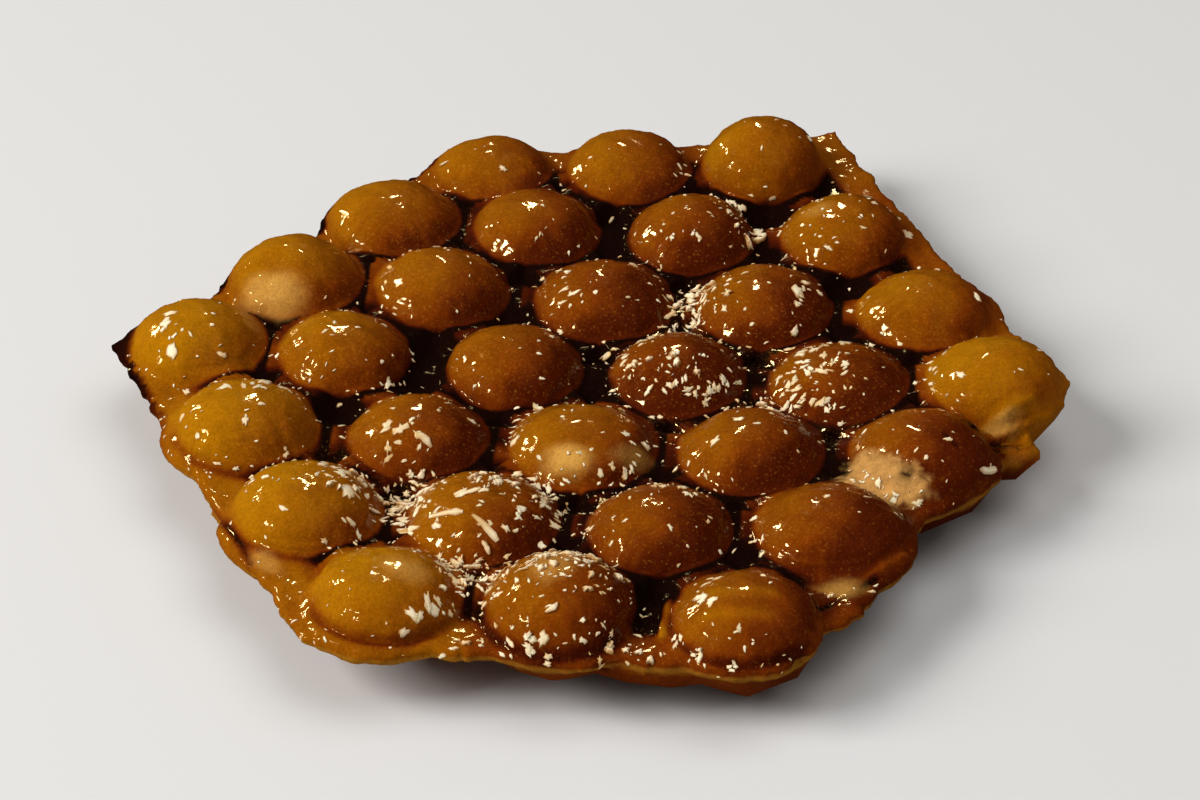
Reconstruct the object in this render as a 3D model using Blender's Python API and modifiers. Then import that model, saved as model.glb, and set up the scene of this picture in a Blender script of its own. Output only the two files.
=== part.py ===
"""Bubble waffle: thirty bubbles of batter baked in one thin sheet, with shreds stuck on it.

Run it with blender --background --python part.py, or from the text editor.
Units are metres and +Z is up. The waffle lies on z = 0 with its middle over the origin,
+X runs along its rows of bubbles and -Y is its front.
"""

import math
import random
from collections import namedtuple

import bmesh
import bpy
from mathutils import Euler, Matrix, Vector, noise
from mathutils.bvhtree import BVHTree

# The grid of bubbles. Rows run from A at the back to G at the front.
ROWS = (3, 4, 5, 6, 5, 4, 3)
PITCH = 0.034
ROW_PITCH = 0.0265
BACK_ROW_PITCH = 0.0315
RADIUS = 0.0150
RADIUS_SPREAD = 0.0003
HEIGHT = 0.0108
HEIGHT_SPREAD = 0.0006
DEPTH = 0.0112

# How far some bubbles sit from their place in the even grid, along X and Y, how much more they
# rise above the sheet and hang below it, and how much wider they are.
Uneven = namedtuple("Uneven", "x y height depth radius")
EVEN = Uneven(0, 0, 0, 0, 0)
UNEVEN = {
    "A1": Uneven(0.0021, -0.0032, -0.0030, 0, -0.0016),
    "A2": Uneven(0.0010, 0, -0.0016, 0, -0.0004),
    "A3": Uneven(-0.0002, 0.0026, 0.0034, 0, -0.0003),
    "B1": Uneven(0.0017, -0.0002, -0.0023, 0, 0.0001),
    "B2": Uneven(-0.0004, 0, -0.0001, 0, -0.0003),
    "B4": Uneven(-0.0004, 0.0016, 0.0007, 0, 0),
    "C1": Uneven(0.0013, -0.0004, 0.0002, 0, -0.0003),
    "C2": Uneven(-0.0013, 0.0008, 0.0002, 0, 0.0003),
    "C3": Uneven(-0.0003, 0, -0.0002, 0, 0.0006),
    "C4": Uneven(0.0002, 0, -0.0002, 0, 0.0005),
    "C5": Uneven(0.0004, -0.0010, -0.0003, 0, -0.0001),
    "D1": Uneven(0.0018, 0, -0.0012, -0.0012, -0.0003),
    "D2": Uneven(-0.0017, 0.0008, 0.0003, 0, -0.0002),
    "D3": Uneven(0.0002, 0, 0.0002, 0, 0.0002),
    "D4": Uneven(0.0004, 0, 0, 0, 0),
    "D5": Uneven(-0.0001, -0.0012, -0.0008, 0, 0.0005),
    "D6": Uneven(-0.0020, -0.0004, 0.0002, 0, -0.0001),
    "E1": Uneven(-0.0003, -0.0014, 0.0005, -0.0026, -0.0001),
    "E2": Uneven(0.0005, 0, -0.0001, 0, 0.0002),
    "E3": Uneven(0.0001, 0, -0.0004, 0, 0.0007),
    "E4": Uneven(0, 0, -0.0003, 0, 0.0007),
    "E5": Uneven(0.0002, 0, 0.0002, 0, 0.0002),
    "F1": Uneven(-0.0007, -0.0014, 0.0002, -0.0034, 0.0006),
    "F2": Uneven(0, 0, -0.0001, 0, 0.0007),
    "F3": Uneven(0.0005, -0.0010, -0.0003, 0, 0.0002),
    "F4": Uneven(-0.0002, 0.0014, -0.0014, 0, 0.0006),
    "G1": Uneven(0.0016, 0.0006, -0.0009, -0.0036, -0.0003),
    "G2": Uneven(0.0006, 0.0004, 0.0014, -0.0016, 0.0002),
    "G3": Uneven(0.0018, -0.0006, -0.0016, 0.0008, -0.0006),
}

# The thin sheet between the bubbles runs a little past each bubble. Along each side it also runs
# past the line between two corner bubbles, by one margin where the side starts and one where it ends.
SHEET_THICKNESS = 0.0027
RIM = 0.0006
SIDES = (
    ("A3", "A1", 0.0154, 0.0096),
    ("A1", "D1", 0.0132, 0.0130),
    ("D1", "G1", 0.0162, 0.0190),
    ("G1", "G3", 0.0135, 0.0135),
    ("G3", "D6", 0.0126, 0.0109),
    ("D6", "A3", 0.0139, 0.0227),
)
NOTCH_BLEND = 0.0014
RAGGED = 0.0011
RAGGED_LENGTH = 0.0075
OUTLINE_POINTS = 360

# Burnt tabs on the edge, as a direction in degrees, a half width in degrees and a length.
TABS = ((182.0, 1.5, 0.0006), (307.5, 5.0, 0.0056))

# The sheet is a shallow, slightly twisted dish, as heights at 100 mm from its middle.
DISH_SPAN = 0.1
DISH_RISE_X = 0.0056
DISH_RISE_Y = 0.0034
DISH_TWIST = -0.0013

# Low shoulders of batter round the foot of some bubbles: the way they face in degrees, their shift.
SHOULDERS = (
    ("B4", 15, 0.0022),
    ("C5", 5, 0.0014),
    ("E1", 188, 0.0016),
    ("F1", 250, 0.0028),
    ("F4", 285, 0.0020),
    ("G1", 235, 0.0014),
    ("G3", 195, 0.0016),
)
SHOULDER_EXTRA = 0.0012
SHOULDER_HEIGHT = 0.0048

# Flaps of batter that hang under the sheet, as a middle, three radii and a turn: one at the right
# corner and one between the two bubbles at the right of the front row.
Flap = namedtuple("Flap", "spot radii turn")
FLAPS = (
    Flap((0.0852, -0.0198, -0.0026), (0.0080, 0.0055, 0.0030), 28),
    Flap((0.0205, -0.0875, -0.0030), (0.0150, 0.0055, 0.0042), 0),
)

# The torn place in the side of one bubble.
TORN_BUBBLE = "E5"
TEAR_ANGLE = 230
TEAR_RISE = 22
TEAR_RADII = (0.0036, 0.0092, 0.0048)
TEAR_DEPTH = 0.0015

# Slow unevenness of the baked skin.
WAVE = 0.00045
WAVE_LENGTH = 0.012

# The lowest bubbles are flattened where they carry the waffle.
MIDDLE_HEIGHT = 0.0106

# Mesh sizes.
BUBBLE_SEGMENTS = 32
BUBBLE_RINGS = 18
VOXEL = 0.0011
SMOOTHING_STEPS = 4
BARE_TRIANGLES = 7200
LEVEL_BOX = 0.3

# Shreds: where each scatter lies, how far it spreads, and how many it has.
Scatter = namedtuple("Scatter", "x y spread_x spread_y count length")
SCATTERS = (
    Scatter(-0.0322, -0.0480, 0.0040, 0.0070, 10, 0.0030),
    Scatter(-0.0181, -0.0692, 0.0050, 0.0070, 8, 0.0026),
    Scatter(0.0015, -0.0785, 0.0095, 0.0080, 13, 0.0026),
    Scatter(0.0186, 0.0262, 0.0065, 0.0070, 10, 0.0028),
    Scatter(0.0122, -0.0046, 0.0090, 0.0060, 7, 0.0024),
    Scatter(0.0391, -0.0095, 0.0080, 0.0055, 7, 0.0026),
    Scatter(0.0293, 0.0510, 0.0035, 0.0060, 4, 0.0024),
    Scatter(-0.0415, -0.0520, 0.0075, 0.0065, 9, 0.0028),
    Scatter(0.0100, -0.0910, 0.0250, 0.0025, 8, 0.0022),
    Scatter(-0.0151, -0.0482, 0.0035, 0.0035, 3, 0.0030),
)
# Single pieces: place, the way they point in degrees, length and width.
Shred = namedtuple("Shred", "x y turn length width")
SHREDS = (
    Shred(-0.0235, -0.0587, 53, 0.0070, 0.0017),
    Shred(-0.0154, -0.0620, 101, 0.0074, 0.0017),
    Shred(-0.0197, -0.0535, 48, 0.0052, 0.0016),
    Shred(-0.0304, -0.0587, 66, 0.0059, 0.0026),
    Shred(-0.0203, -0.0683, 61, 0.0040, 0.0022),
    Shred(-0.0145, -0.0474, 136, 0.0044, 0.0023),
    Shred(-0.0054, -0.0511, 147, 0.0041, 0.0016),
    Shred(-0.0433, -0.0547, 9, 0.0049, 0.0034),
    Shred(-0.0416, -0.0612, 82, 0.0029, 0.0018),
    Shred(-0.0866, -0.0095, 104, 0.0047, 0.0030),
    Shred(-0.0765, -0.0083, 142, 0.0030, 0.0019),
    Shred(-0.0670, -0.0347, 78, 0.0031, 0.0017),
    Shred(-0.0309, -0.0340, 118, 0.0044, 0.0018),
    Shred(-0.0381, -0.0360, 96, 0.0038, 0.0016),
    Shred(-0.0196, -0.0757, 5, 0.0047, 0.0022),
    Shred(-0.0272, -0.0914, 28, 0.0027, 0.0020),
    Shred(-0.0267, 0.0706, 107, 0.0033, 0.0019),
    Shred(-0.0059, 0.0218, 60, 0.0033, 0.0016),
    Shred(0.0056, 0.0357, 144, 0.0042, 0.0016),
    Shred(0.0251, 0.0553, 147, 0.0037, 0.0016),
    Shred(0.0413, 0.0155, 54, 0.0032, 0.0019),
    Shred(0.0472, -0.0043, 29, 0.0044, 0.0021),
    Shred(0.0478, 0.0014, 39, 0.0037, 0.0018),
    Shred(0.0601, -0.0367, 103, 0.0033, 0.0019),
    Shred(0.0458, -0.0706, 10, 0.0034, 0.0017),
    Shred(0.0818, -0.0320, 325, 0.0060, 0.0017),
)
FLAKE_WIDTH = 0.0016
FLAKE_THICKNESS = 0.0009
FLAKE_SINK = 0.25
FLAKE_TIP = 0.45
FLAKE_TILT = 28
LOOK_DOWN_FROM = 0.08

SEED = 20
FLAKE_SEED = 5

Bubble = namedtuple("Bubble", "name x y radius height depth")


def grid_bubbles():
    """The thirty bubbles on the flat grid, each with its own size."""
    draw = random.Random(SEED)
    bubbles = []
    for row, count in enumerate(ROWS):
        pitch = BACK_ROW_PITCH if row == 0 else PITCH
        for column in range(count):
            name = "ABCDEFG"[row] + str(column + 1)
            uneven = UNEVEN.get(name, EVEN)
            x = (column - (count - 1) / 2) * pitch + uneven.x
            y = (len(ROWS) // 2 - row) * ROW_PITCH + uneven.y
            radius = RADIUS + uneven.radius + draw.uniform(-1, 1) * RADIUS_SPREAD
            height = HEIGHT + uneven.height + draw.uniform(-1, 1) * HEIGHT_SPREAD
            bubbles.append(Bubble(name, x, y, radius, height, DEPTH + uneven.depth))
    return bubbles


def side_lines(bubbles):
    """Each side of the sheet as a point on its line and the line's outward normal."""
    spots = {bubble.name: Vector((bubble.x, bubble.y)) for bubble in bubbles}
    lines = []
    for first, last, margin_first, margin_last in SIDES:
        along = (spots[last] - spots[first]).normalized()
        out = Vector((along.y, -along.x))
        start = spots[first] + out * margin_first
        end = spots[last] + out * margin_last
        along = (end - start).normalized()
        lines.append((start, Vector((along.y, -along.x))))
    return lines


def reach_in_circle(bubble, along):
    """How far a ray from the middle gets before it leaves the bubble's rim, or 0."""
    spot = Vector((bubble.x, bubble.y))
    middle = spot.dot(along)
    half = (bubble.radius + RIM) ** 2 - (spot.length_squared - middle**2)
    return middle + math.sqrt(half) if half > 0 else 0.0


def outline_reach(bubbles, lines, degrees):
    """Distance from the middle to the sheet's edge: straight sides and round lobes, blended."""
    along = Vector((math.cos(math.radians(degrees)), math.sin(math.radians(degrees))))
    ends = [start.dot(out) / along.dot(out) for start, out in lines if along.dot(out) > 0]
    reaches = [min(ends)] + [reach_in_circle(bubble, along) for bubble in bubbles]
    longest = max(reaches)
    total = sum(math.exp((reach - longest) / NOTCH_BLEND) for reach in reaches)
    reach = longest + NOTCH_BLEND * math.log(total)
    reach += RAGGED * noise.fractal((*(along * reach / RAGGED_LENGTH), 0), 0.6, 2.3, 3)
    for middle, half_width, length in TABS:
        reach += length * max(0.0, 1 - abs(degrees - middle) / half_width) ** 0.5
    return reach


def outline(bubbles):
    """The sheet's edge as flat points, counter-clockwise."""
    lines = side_lines(bubbles)
    points = []
    for step in range(OUTLINE_POINTS):
        degrees = 360 * step / OUTLINE_POINTS
        reach = outline_reach(bubbles, lines, degrees)
        turn = math.radians(degrees)
        points.append((reach * math.cos(turn), reach * math.sin(turn)))
    return points


def sheet_rise(x, y):
    """Height of the dished sheet over its middle."""
    across, back = x / DISH_SPAN, y / DISH_SPAN
    return DISH_RISE_X * across**2 + DISH_RISE_Y * back**2 + DISH_TWIST * across * back


def clear_scene():
    """Start from an empty scene."""
    for obj in list(bpy.data.objects):
        bpy.data.objects.remove(obj, do_unlink=True)


def collection(name):
    """A collection of that name in the scene."""
    group = bpy.data.collections.new(name)
    bpy.context.scene.collection.children.link(group)
    return group


def put_in(group, obj):
    """Move an object into a collection."""
    for other in list(obj.users_collection):
        other.objects.unlink(obj)
    group.objects.link(obj)


def rounded(name, spot, radii, turn=0.0):
    """A sphere stretched to three radii, with its scale applied."""
    bpy.ops.mesh.primitive_uv_sphere_add(segments=BUBBLE_SEGMENTS, ring_count=BUBBLE_RINGS, radius=1)
    obj = bpy.context.object
    obj.name = name
    place = Matrix.Translation(spot) @ Matrix.Rotation(turn, 4, "Z")
    obj.data.transform(place @ Matrix.Diagonal((*radii, 1)))
    return obj


def bubble_solids(bubbles):
    """One stretched sphere for each bubble, higher above the sheet than below it."""
    solids = []
    for bubble in bubbles:
        obj = rounded(bubble.name, (bubble.x, bubble.y, 0), (bubble.radius, bubble.radius, 1))
        for vertex in obj.data.vertices:
            vertex.co.z *= bubble.height if vertex.co.z > 0 else bubble.depth
        solids.append(obj)
    return solids


def shoulder_solids(bubbles):
    """Low domes that stand out on one side of some bubbles' feet."""
    by_name = {bubble.name: bubble for bubble in bubbles}
    solids = []
    for name, facing, shift in SHOULDERS:
        bubble = by_name[name]
        x = bubble.x + shift * math.cos(math.radians(facing))
        y = bubble.y + shift * math.sin(math.radians(facing))
        radius = bubble.radius + SHOULDER_EXTRA
        solids.append(rounded("shoulder_" + name, (x, y, 0), (radius, radius, SHOULDER_HEIGHT)))
    return solids


def sheet_solid(bubbles):
    """The thin sheet, a filled outline with a thickness."""
    curve = bpy.data.curves.new("sheet", "CURVE")
    curve.dimensions = "2D"
    curve.fill_mode = "BOTH"
    curve.extrude = SHEET_THICKNESS / 2
    spline = curve.splines.new("POLY")
    points = outline(bubbles)
    spline.points.add(len(points) - 1)
    for point, (x, y) in zip(spline.points, points):
        point.co = (x, y, 0, 1)
    spline.use_cyclic_u = True
    drawn = bpy.data.objects.new("sheet_outline", curve)
    bpy.context.scene.collection.objects.link(drawn)
    solid = bpy.data.objects.new("sheet", mesh_of(drawn))
    bpy.context.scene.collection.objects.link(solid)
    bpy.data.objects.remove(drawn)
    return solid


def mesh_of(obj):
    """A copy of the object's mesh with its modifiers applied."""
    bpy.context.view_layer.update()
    evaluated = obj.evaluated_get(bpy.context.evaluated_depsgraph_get())
    return bpy.data.meshes.new_from_object(evaluated)


def apply_modifiers(obj):
    """Replace the object's mesh by what its modifiers make of it."""
    mesh = mesh_of(obj)
    obj.modifiers.clear()
    obj.data = mesh


def join(solids, name):
    """One object from many."""
    first = solids[0]
    with bpy.context.temp_override(active_object=first, selected_editable_objects=solids):
        bpy.ops.object.join()
    first.name = name
    return first


def one_skin(waffle):
    """Melt the overlapping solids into one skin with soft creases."""
    remesh = waffle.modifiers.new("skin", "REMESH")
    remesh.mode = "VOXEL"
    remesh.voxel_size = VOXEL
    smooth = waffle.modifiers.new("soften", "SMOOTH")
    smooth.factor = 0.5
    smooth.iterations = SMOOTHING_STEPS
    apply_modifiers(waffle)


def bend_and_centre(waffle, bubbles):
    """Dish the flat waffle, make its skin uneven, and set its middle over the origin."""
    points = outline(bubbles)
    middle_x = (max(x for x, y in points) + min(x for x, y in points)) / 2
    middle_y = (max(y for x, y in points) + min(y for x, y in points)) / 2
    normals = [vertex.normal.copy() for vertex in waffle.data.vertices]
    for vertex, normal in zip(waffle.data.vertices, normals):
        wave = noise.noise(vertex.co / WAVE_LENGTH)
        vertex.co += normal * WAVE * wave
        vertex.co.z += MIDDLE_HEIGHT + sheet_rise(vertex.co.x, vertex.co.y)
        vertex.co.x -= middle_x
        vertex.co.y -= middle_y
    return middle_x, middle_y


def thin_out(waffle, triangles):
    """Reduce the mesh to about so many triangles."""
    waffle.data.calc_loop_triangles()
    decimate = waffle.modifiers.new("thin_out", "DECIMATE")
    decimate.ratio = triangles / len(waffle.data.loop_triangles)
    decimate.use_collapse_triangulate = True
    apply_modifiers(waffle)


def cutter(obj, group):
    """Mark an object as a cutter."""
    put_in(group, obj)
    obj.hide_render = True
    obj.display_type = "WIRE"
    return obj


def tear_cutter(bubbles, middle):
    """The stretched sphere that takes the torn place out of one bubble's side."""
    bubble = next(b for b in bubbles if b.name == TORN_BUBBLE)
    turn, rise = math.radians(TEAR_ANGLE), math.radians(TEAR_RISE)
    out = Vector((math.cos(turn) * math.cos(rise), math.sin(turn) * math.cos(rise), math.sin(rise)))
    wall = Vector((out.x * bubble.radius, out.y * bubble.radius, out.z * bubble.height))
    spot = Vector((bubble.x - middle[0], bubble.y - middle[1], MIDDLE_HEIGHT))
    spot.z += sheet_rise(bubble.x, bubble.y)
    spot += wall + out * (TEAR_RADII[0] - TEAR_DEPTH)
    obj = rounded("tear", (0, 0, 0), TEAR_RADII)
    obj.data.transform(Matrix.Translation(spot) @ Euler((0, -rise, turn)).to_matrix().to_4x4())
    return obj


def level_cutter():
    """The block under z = 0 that leaves the lowest bubbles flat."""
    bpy.ops.mesh.primitive_cube_add(size=1)
    obj = bpy.context.object
    obj.name = "level"
    obj.data.transform(Matrix.Translation((0, 0, -LEVEL_BOX / 2)) @ Matrix.Scale(LEVEL_BOX, 4))
    return obj


def cut(waffle, cutters):
    """Take the cutters out of the waffle."""
    for tool in cutters:
        boolean = waffle.modifiers.new("cut_" + tool.name, "BOOLEAN")
        boolean.operation = "DIFFERENCE"
        boolean.object = tool
    apply_modifiers(waffle)
    for tool in cutters:
        bpy.data.objects.remove(tool)


def flake_mesh():
    """A shard one unit long, wide and thick, narrower at its tip."""
    bpy.ops.mesh.primitive_cube_add(size=1)
    obj = bpy.context.object
    for vertex in obj.data.vertices:
        if vertex.co.x > 0:
            vertex.co.y *= FLAKE_TIP
            vertex.co.z *= FLAKE_TIP
    mesh = obj.data
    bpy.data.objects.remove(obj)
    return mesh


def flake_list(draw, middle):
    """Every shred's place, direction, tilt and size, scattered ones first."""
    flakes = []
    for scatter in SCATTERS:
        for _ in range(scatter.count):
            x = draw.gauss(scatter.x, scatter.spread_x / 2)
            y = draw.gauss(scatter.y, scatter.spread_y / 2)
            turn = draw.uniform(0, 360)
            length = scatter.length * draw.uniform(0.65, 1.25)
            width = FLAKE_WIDTH * draw.uniform(0.7, 1.2)
            tilt = draw.uniform(-1, 1) * FLAKE_TILT
            flakes.append((x - middle[0], y - middle[1], turn, length, width, tilt))
    for shred in SHREDS:
        flakes.append((shred.x - middle[0], shred.y - middle[1], shred.turn, shred.length, shred.width, 0))
    return flakes


def add_flakes(waffle, group, middle):
    """Lay the shreds on the skin, a quarter of their thickness sunk in it."""
    draw = random.Random(FLAKE_SEED)
    skin = BVHTree.FromObject(waffle, bpy.context.evaluated_depsgraph_get())
    shape = flake_mesh()
    for number, (x, y, turn, length, width, tilt) in enumerate(flake_list(draw, middle)):
        spot, normal, _, _ = skin.ray_cast(Vector((x, y, LOOK_DOWN_FROM)), Vector((0, 0, -1)))
        if spot is None:
            continue
        flake = bpy.data.objects.new(f"flake_{number}", shape)
        group.objects.link(flake)
        lean = normal.to_track_quat("Z", "Y").to_matrix().to_4x4()
        spin = Matrix.Rotation(math.radians(turn), 4, "Z") @ Matrix.Rotation(math.radians(tilt), 4, "X")
        lift = FLAKE_THICKNESS * (0.5 - FLAKE_SINK)
        size = Matrix.Diagonal((length, width, FLAKE_THICKNESS, 1))
        flake.matrix_world = Matrix.Translation(spot + normal * lift) @ lean @ spin @ size


def fuse_flakes(waffle, group):
    """Unite the shreds with the skin, then remove their objects."""
    union = waffle.modifiers.new("fuse", "BOOLEAN")
    union.operation = "UNION"
    union.operand_type = "COLLECTION"
    union.collection = group
    apply_modifiers(waffle)
    for flake in list(group.objects):
        bpy.data.objects.remove(flake)


def fill_hollows(waffle):
    """Fill what the shreds sealed, and drop loose scraps, by keeping the largest shell alone."""
    mesh = bmesh.new()
    mesh.from_mesh(waffle.data)
    left = set(mesh.faces)
    shells = []
    while left:
        shell = {left.pop()}
        edge_faces = list(shell)
        while edge_faces:
            face = edge_faces.pop()
            for edge in face.edges:
                for beside in edge.link_faces:
                    if beside in left:
                        left.remove(beside)
                        shell.add(beside)
                        edge_faces.append(beside)
        shells.append(shell)
    shells.sort(key=len)
    for shell in shells[:-1]:
        bmesh.ops.delete(mesh, geom=list(shell), context="FACES")
    mesh.to_mesh(waffle.data)
    mesh.free()


def baked_crust():
    """The brown crust's material."""
    material = bpy.data.materials.new("baked_crust")
    material.use_nodes = True
    shader = material.node_tree.nodes["Principled BSDF"]
    shader.inputs["Base Color"].default_value = (0.21, 0.068, 0.010, 1)
    shader.inputs["Roughness"].default_value = 0.35
    shader.inputs["Metallic"].default_value = 0.0
    return material


def main():
    """Build the waffle."""
    clear_scene()
    parts = collection("bubble_waffle")
    cutters = collection("cutters")
    flakes = collection("flakes")
    bubbles = grid_bubbles()
    solids = bubble_solids(bubbles) + shoulder_solids(bubbles)
    solids += [rounded("flap", flap.spot, flap.radii, math.radians(flap.turn)) for flap in FLAPS]
    solids.append(sheet_solid(bubbles))
    waffle = join(solids, "waffle")
    put_in(parts, waffle)
    one_skin(waffle)
    middle = bend_and_centre(waffle, bubbles)
    thin_out(waffle, BARE_TRIANGLES)
    cut(waffle, [cutter(tear_cutter(bubbles, middle), cutters), cutter(level_cutter(), cutters)])
    add_flakes(waffle, flakes, middle)
    fuse_flakes(waffle, flakes)
    fill_hollows(waffle)
    waffle.data.materials.clear()
    waffle.data.materials.append(baked_crust())
    waffle.data.shade_smooth()
    waffle.data.set_sharp_from_angle(angle=math.radians(40))


main()
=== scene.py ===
"""Looks of the bubble waffle: one baked skin, the pale shreds fused to it and the fine crumbs on it.

The skin is made the way the solid is: bubbles, shoulders and a ragged sheet melted into one, then
dished. It gets finer relief, a baked colour for every point with painted shade in its creases, pits,
holes, feet and far sides and painted highlights in pale patches, and a procedural glossy crust whose
golden specks are painted glints.
Lengths are metres, and millimetres in the lists that rows_of reads. Places named "flat" are on the
waffle before it is dished and centred.
"""

import logging
import math
import random
from dataclasses import dataclass
from enum import Enum

import bpy
import numpy as np
from mathutils import Euler, Matrix, Vector, noise
from mathutils.bvhtree import BVHTree

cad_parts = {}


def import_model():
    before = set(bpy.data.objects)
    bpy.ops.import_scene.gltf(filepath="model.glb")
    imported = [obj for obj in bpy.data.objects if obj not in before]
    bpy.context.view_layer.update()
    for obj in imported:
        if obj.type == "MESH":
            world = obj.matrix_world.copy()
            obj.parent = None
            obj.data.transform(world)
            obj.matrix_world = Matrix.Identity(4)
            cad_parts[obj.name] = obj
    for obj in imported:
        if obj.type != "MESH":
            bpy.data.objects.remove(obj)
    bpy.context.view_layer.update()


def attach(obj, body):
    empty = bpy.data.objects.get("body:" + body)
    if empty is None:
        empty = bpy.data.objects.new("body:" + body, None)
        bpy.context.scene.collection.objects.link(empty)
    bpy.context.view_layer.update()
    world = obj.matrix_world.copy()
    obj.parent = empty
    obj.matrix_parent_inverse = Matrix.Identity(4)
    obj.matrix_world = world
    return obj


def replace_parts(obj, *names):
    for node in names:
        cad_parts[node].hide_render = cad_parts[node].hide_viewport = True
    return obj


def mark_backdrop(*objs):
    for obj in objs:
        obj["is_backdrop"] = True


LOG = logging.getLogger("bubble_waffle")
NODE = "waffle"
BODY = "root"

Colour = tuple[float, float, float]
Range = tuple[float, float]
Place = tuple[float, float, float]
Shape = tuple[list[Vector], list[tuple[int, ...]]]


class Stored(Enum):
    """What the meshes store for their materials, and under which name."""

    TONE = "crust_tone"
    DRY = "dry"
    BROWNED = "browned"


def ramp(values: np.ndarray, low: float, high: float) -> np.ndarray:
    """Map values to 0..1 between two limits, softly at both ends.

    Args:
        values: The numbers to map.
        low: Where the result is 0.
        high: Where the result is 1; it may be less than low.

    Returns:
        The mapped numbers.
    """
    share = np.clip((values - low) / (high - low), 0.0, 1.0)
    return share * share * (3 - 2 * share)


def mix(first: np.ndarray, second: np.ndarray, share: np.ndarray) -> np.ndarray:
    """Blend two colours, or arrays of colours, by a share for each point."""
    return first + (second - first) * share[:, None]


def noise_field(points: np.ndarray, length: float, octaves: int = 3, shift: float = 0.0) -> np.ndarray:
    """Smooth noise of one wave length at each point.

    Args:
        points: One row for each point.
        length: The longest wave's length.
        octaves: How many finer waves are added.
        shift: Moves the pattern, so that two fields differ.

    Returns:
        One number for each point, about -1 to 1.
    """
    scaled = points / length + shift
    return np.array([noise.fractal(Vector(row), 0.7, 2.1, octaves) for row in scaled])


def rows_of(kind: type, lengths: tuple[int, ...], rows: tuple[tuple, ...]) -> tuple:
    """Make one record from each row of a list.

    Args:
        kind: The records' class.
        lengths: Which places of a row are lengths, in millimetres.
        rows: The rows.

    Returns:
        The records, with those lengths in metres.
    """
    return tuple(
        kind(*(round(value / 1000, 7) if place in lengths else value for place, value in enumerate(row)))
        for row in rows
    )


@dataclass(frozen=True)
class Bubble:
    """One bubble: its place in the flat grid, radius, rise above the sheet, depth below it and bake."""

    name: str
    x: float
    y: float
    radius: float
    height: float
    depth: float
    bake: float


@dataclass(frozen=True)
class Uneven:
    """How far a bubble is from its even place, how much more it rises and hangs, and is wider."""

    bubble: str = ""
    x: float = 0.0
    y: float = 0.0
    height: float = 0.0
    depth: float = 0.0
    radius: float = 0.0


@dataclass
class BubbleGrid:
    """The thirty bubbles in their staggered rows, A at the back and G at the front."""

    rows: tuple[int, ...] = (3, 4, 5, 6, 5, 4, 3)
    pitch: float = 0.034
    row_pitch: float = 0.0265
    back_row_pitch: float = 0.0315
    radius: float = 0.0150
    radius_spread: float = 0.0003
    height: float = 0.0108
    height_spread: float = 0.0006
    depth: float = 0.0112
    seed: int = 20
    uneven: tuple[Uneven, ...] = rows_of(
        Uneven,
        (1, 2, 3, 4, 5),
        (
            ("A1", 2.1, -3.2, -3, 0, -1.6), ("A2", 1, 0, -1.6, 0, -0.4),
            ("A3", -0.2, 2.6, 3.4, 0, -0.3), ("B1", 1.7, -0.2, -2.3, 0, 0.1),
            ("B2", -0.4, 0, -0.1, 0, -0.3), ("B4", -0.4, 1.6, 0.7, 0, 0),
            ("C1", 1.3, -0.4, 0.2, 0, -0.3), ("C2", -1.3, 0.8, 0.2, 0, 0.3),
            ("C3", -0.3, 0, -0.2, 0, 0.6), ("C4", 0.2, 0, -0.2, 0, 0.5), ("C5", 0.4, -1, -0.3, 0, -0.1),
            ("D1", 1.8, 0, -1.2, -1.2, -0.3), ("D2", -1.7, 0.8, 0.3, 0, -0.2),
            ("D3", 0.2, 0, 0.2, 0, 0.2), ("D4", 0.4, 0, 0, 0, 0), ("D5", -0.1, -1.2, -0.8, 0, 0.5),
            ("D6", -2, -0.4, 0.2, 0, -0.1), ("E1", -0.3, -1.4, 0.5, -2.6, -0.1),
            ("E2", 0.5, 0, -0.1, 0, 0.2), ("E3", 0.1, 0, -0.4, 0, 0.7), ("E4", 0, 0, -0.3, 0, 0.7),
            ("E5", 0.2, 0, 0.2, 0, 0.2), ("F1", -0.7, -1.4, 0.2, -3.4, 0.6), ("F2", 0, 0, -0.1, 0, 0.7),
            ("F3", 0.5, -1, -0.3, 0, 0.2), ("F4", -0.2, 1.4, -1.4, 0, 0.6),
            ("G1", 1.6, 0.6, -0.9, -3.6, -0.3), ("G2", 0.6, 0.4, 1.4, -1.6, 0.2),
            ("G3", 1.8, -0.6, -1.6, 0.8, -0.6),
        ),
    )
    bakes: tuple[tuple[float, ...], ...] = (
        (0.36, 0.43, 0.28),
        (0.36, 0.54, 0.60, 0.40),
        (0.25, 0.46, 0.66, 0.60, 0.36),
        (0.05, 0.33, 0.56, 0.76, 0.66, 0.12),
        (0.10, 0.55, 0.43, 0.59, 0.66),
        (0.15, 0.46, 0.66, 0.66),
        (0.15, 0.52, 0.55),
    )

    def bubbles(self) -> list[Bubble]:
        """Every bubble with its own place, size and bake."""
        draw = random.Random(self.seed)
        unevens = {uneven.bubble: uneven for uneven in self.uneven}
        found = []
        for row, count in enumerate(self.rows):
            pitch = self.back_row_pitch if row == 0 else self.pitch
            for column in range(count):
                name = "ABCDEFG"[row] + str(column + 1)
                uneven = unevens.get(name, Uneven())
                x = (column - (count - 1) / 2) * pitch + uneven.x
                y = (len(self.rows) // 2 - row) * self.row_pitch + uneven.y
                radius = self.radius + uneven.radius + draw.uniform(-1, 1) * self.radius_spread
                height = self.height + uneven.height + draw.uniform(-1, 1) * self.height_spread
                depth = self.depth + uneven.depth
                found.append(Bubble(name, x, y, radius, height, depth, self.bakes[row][column]))
        return found


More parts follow.
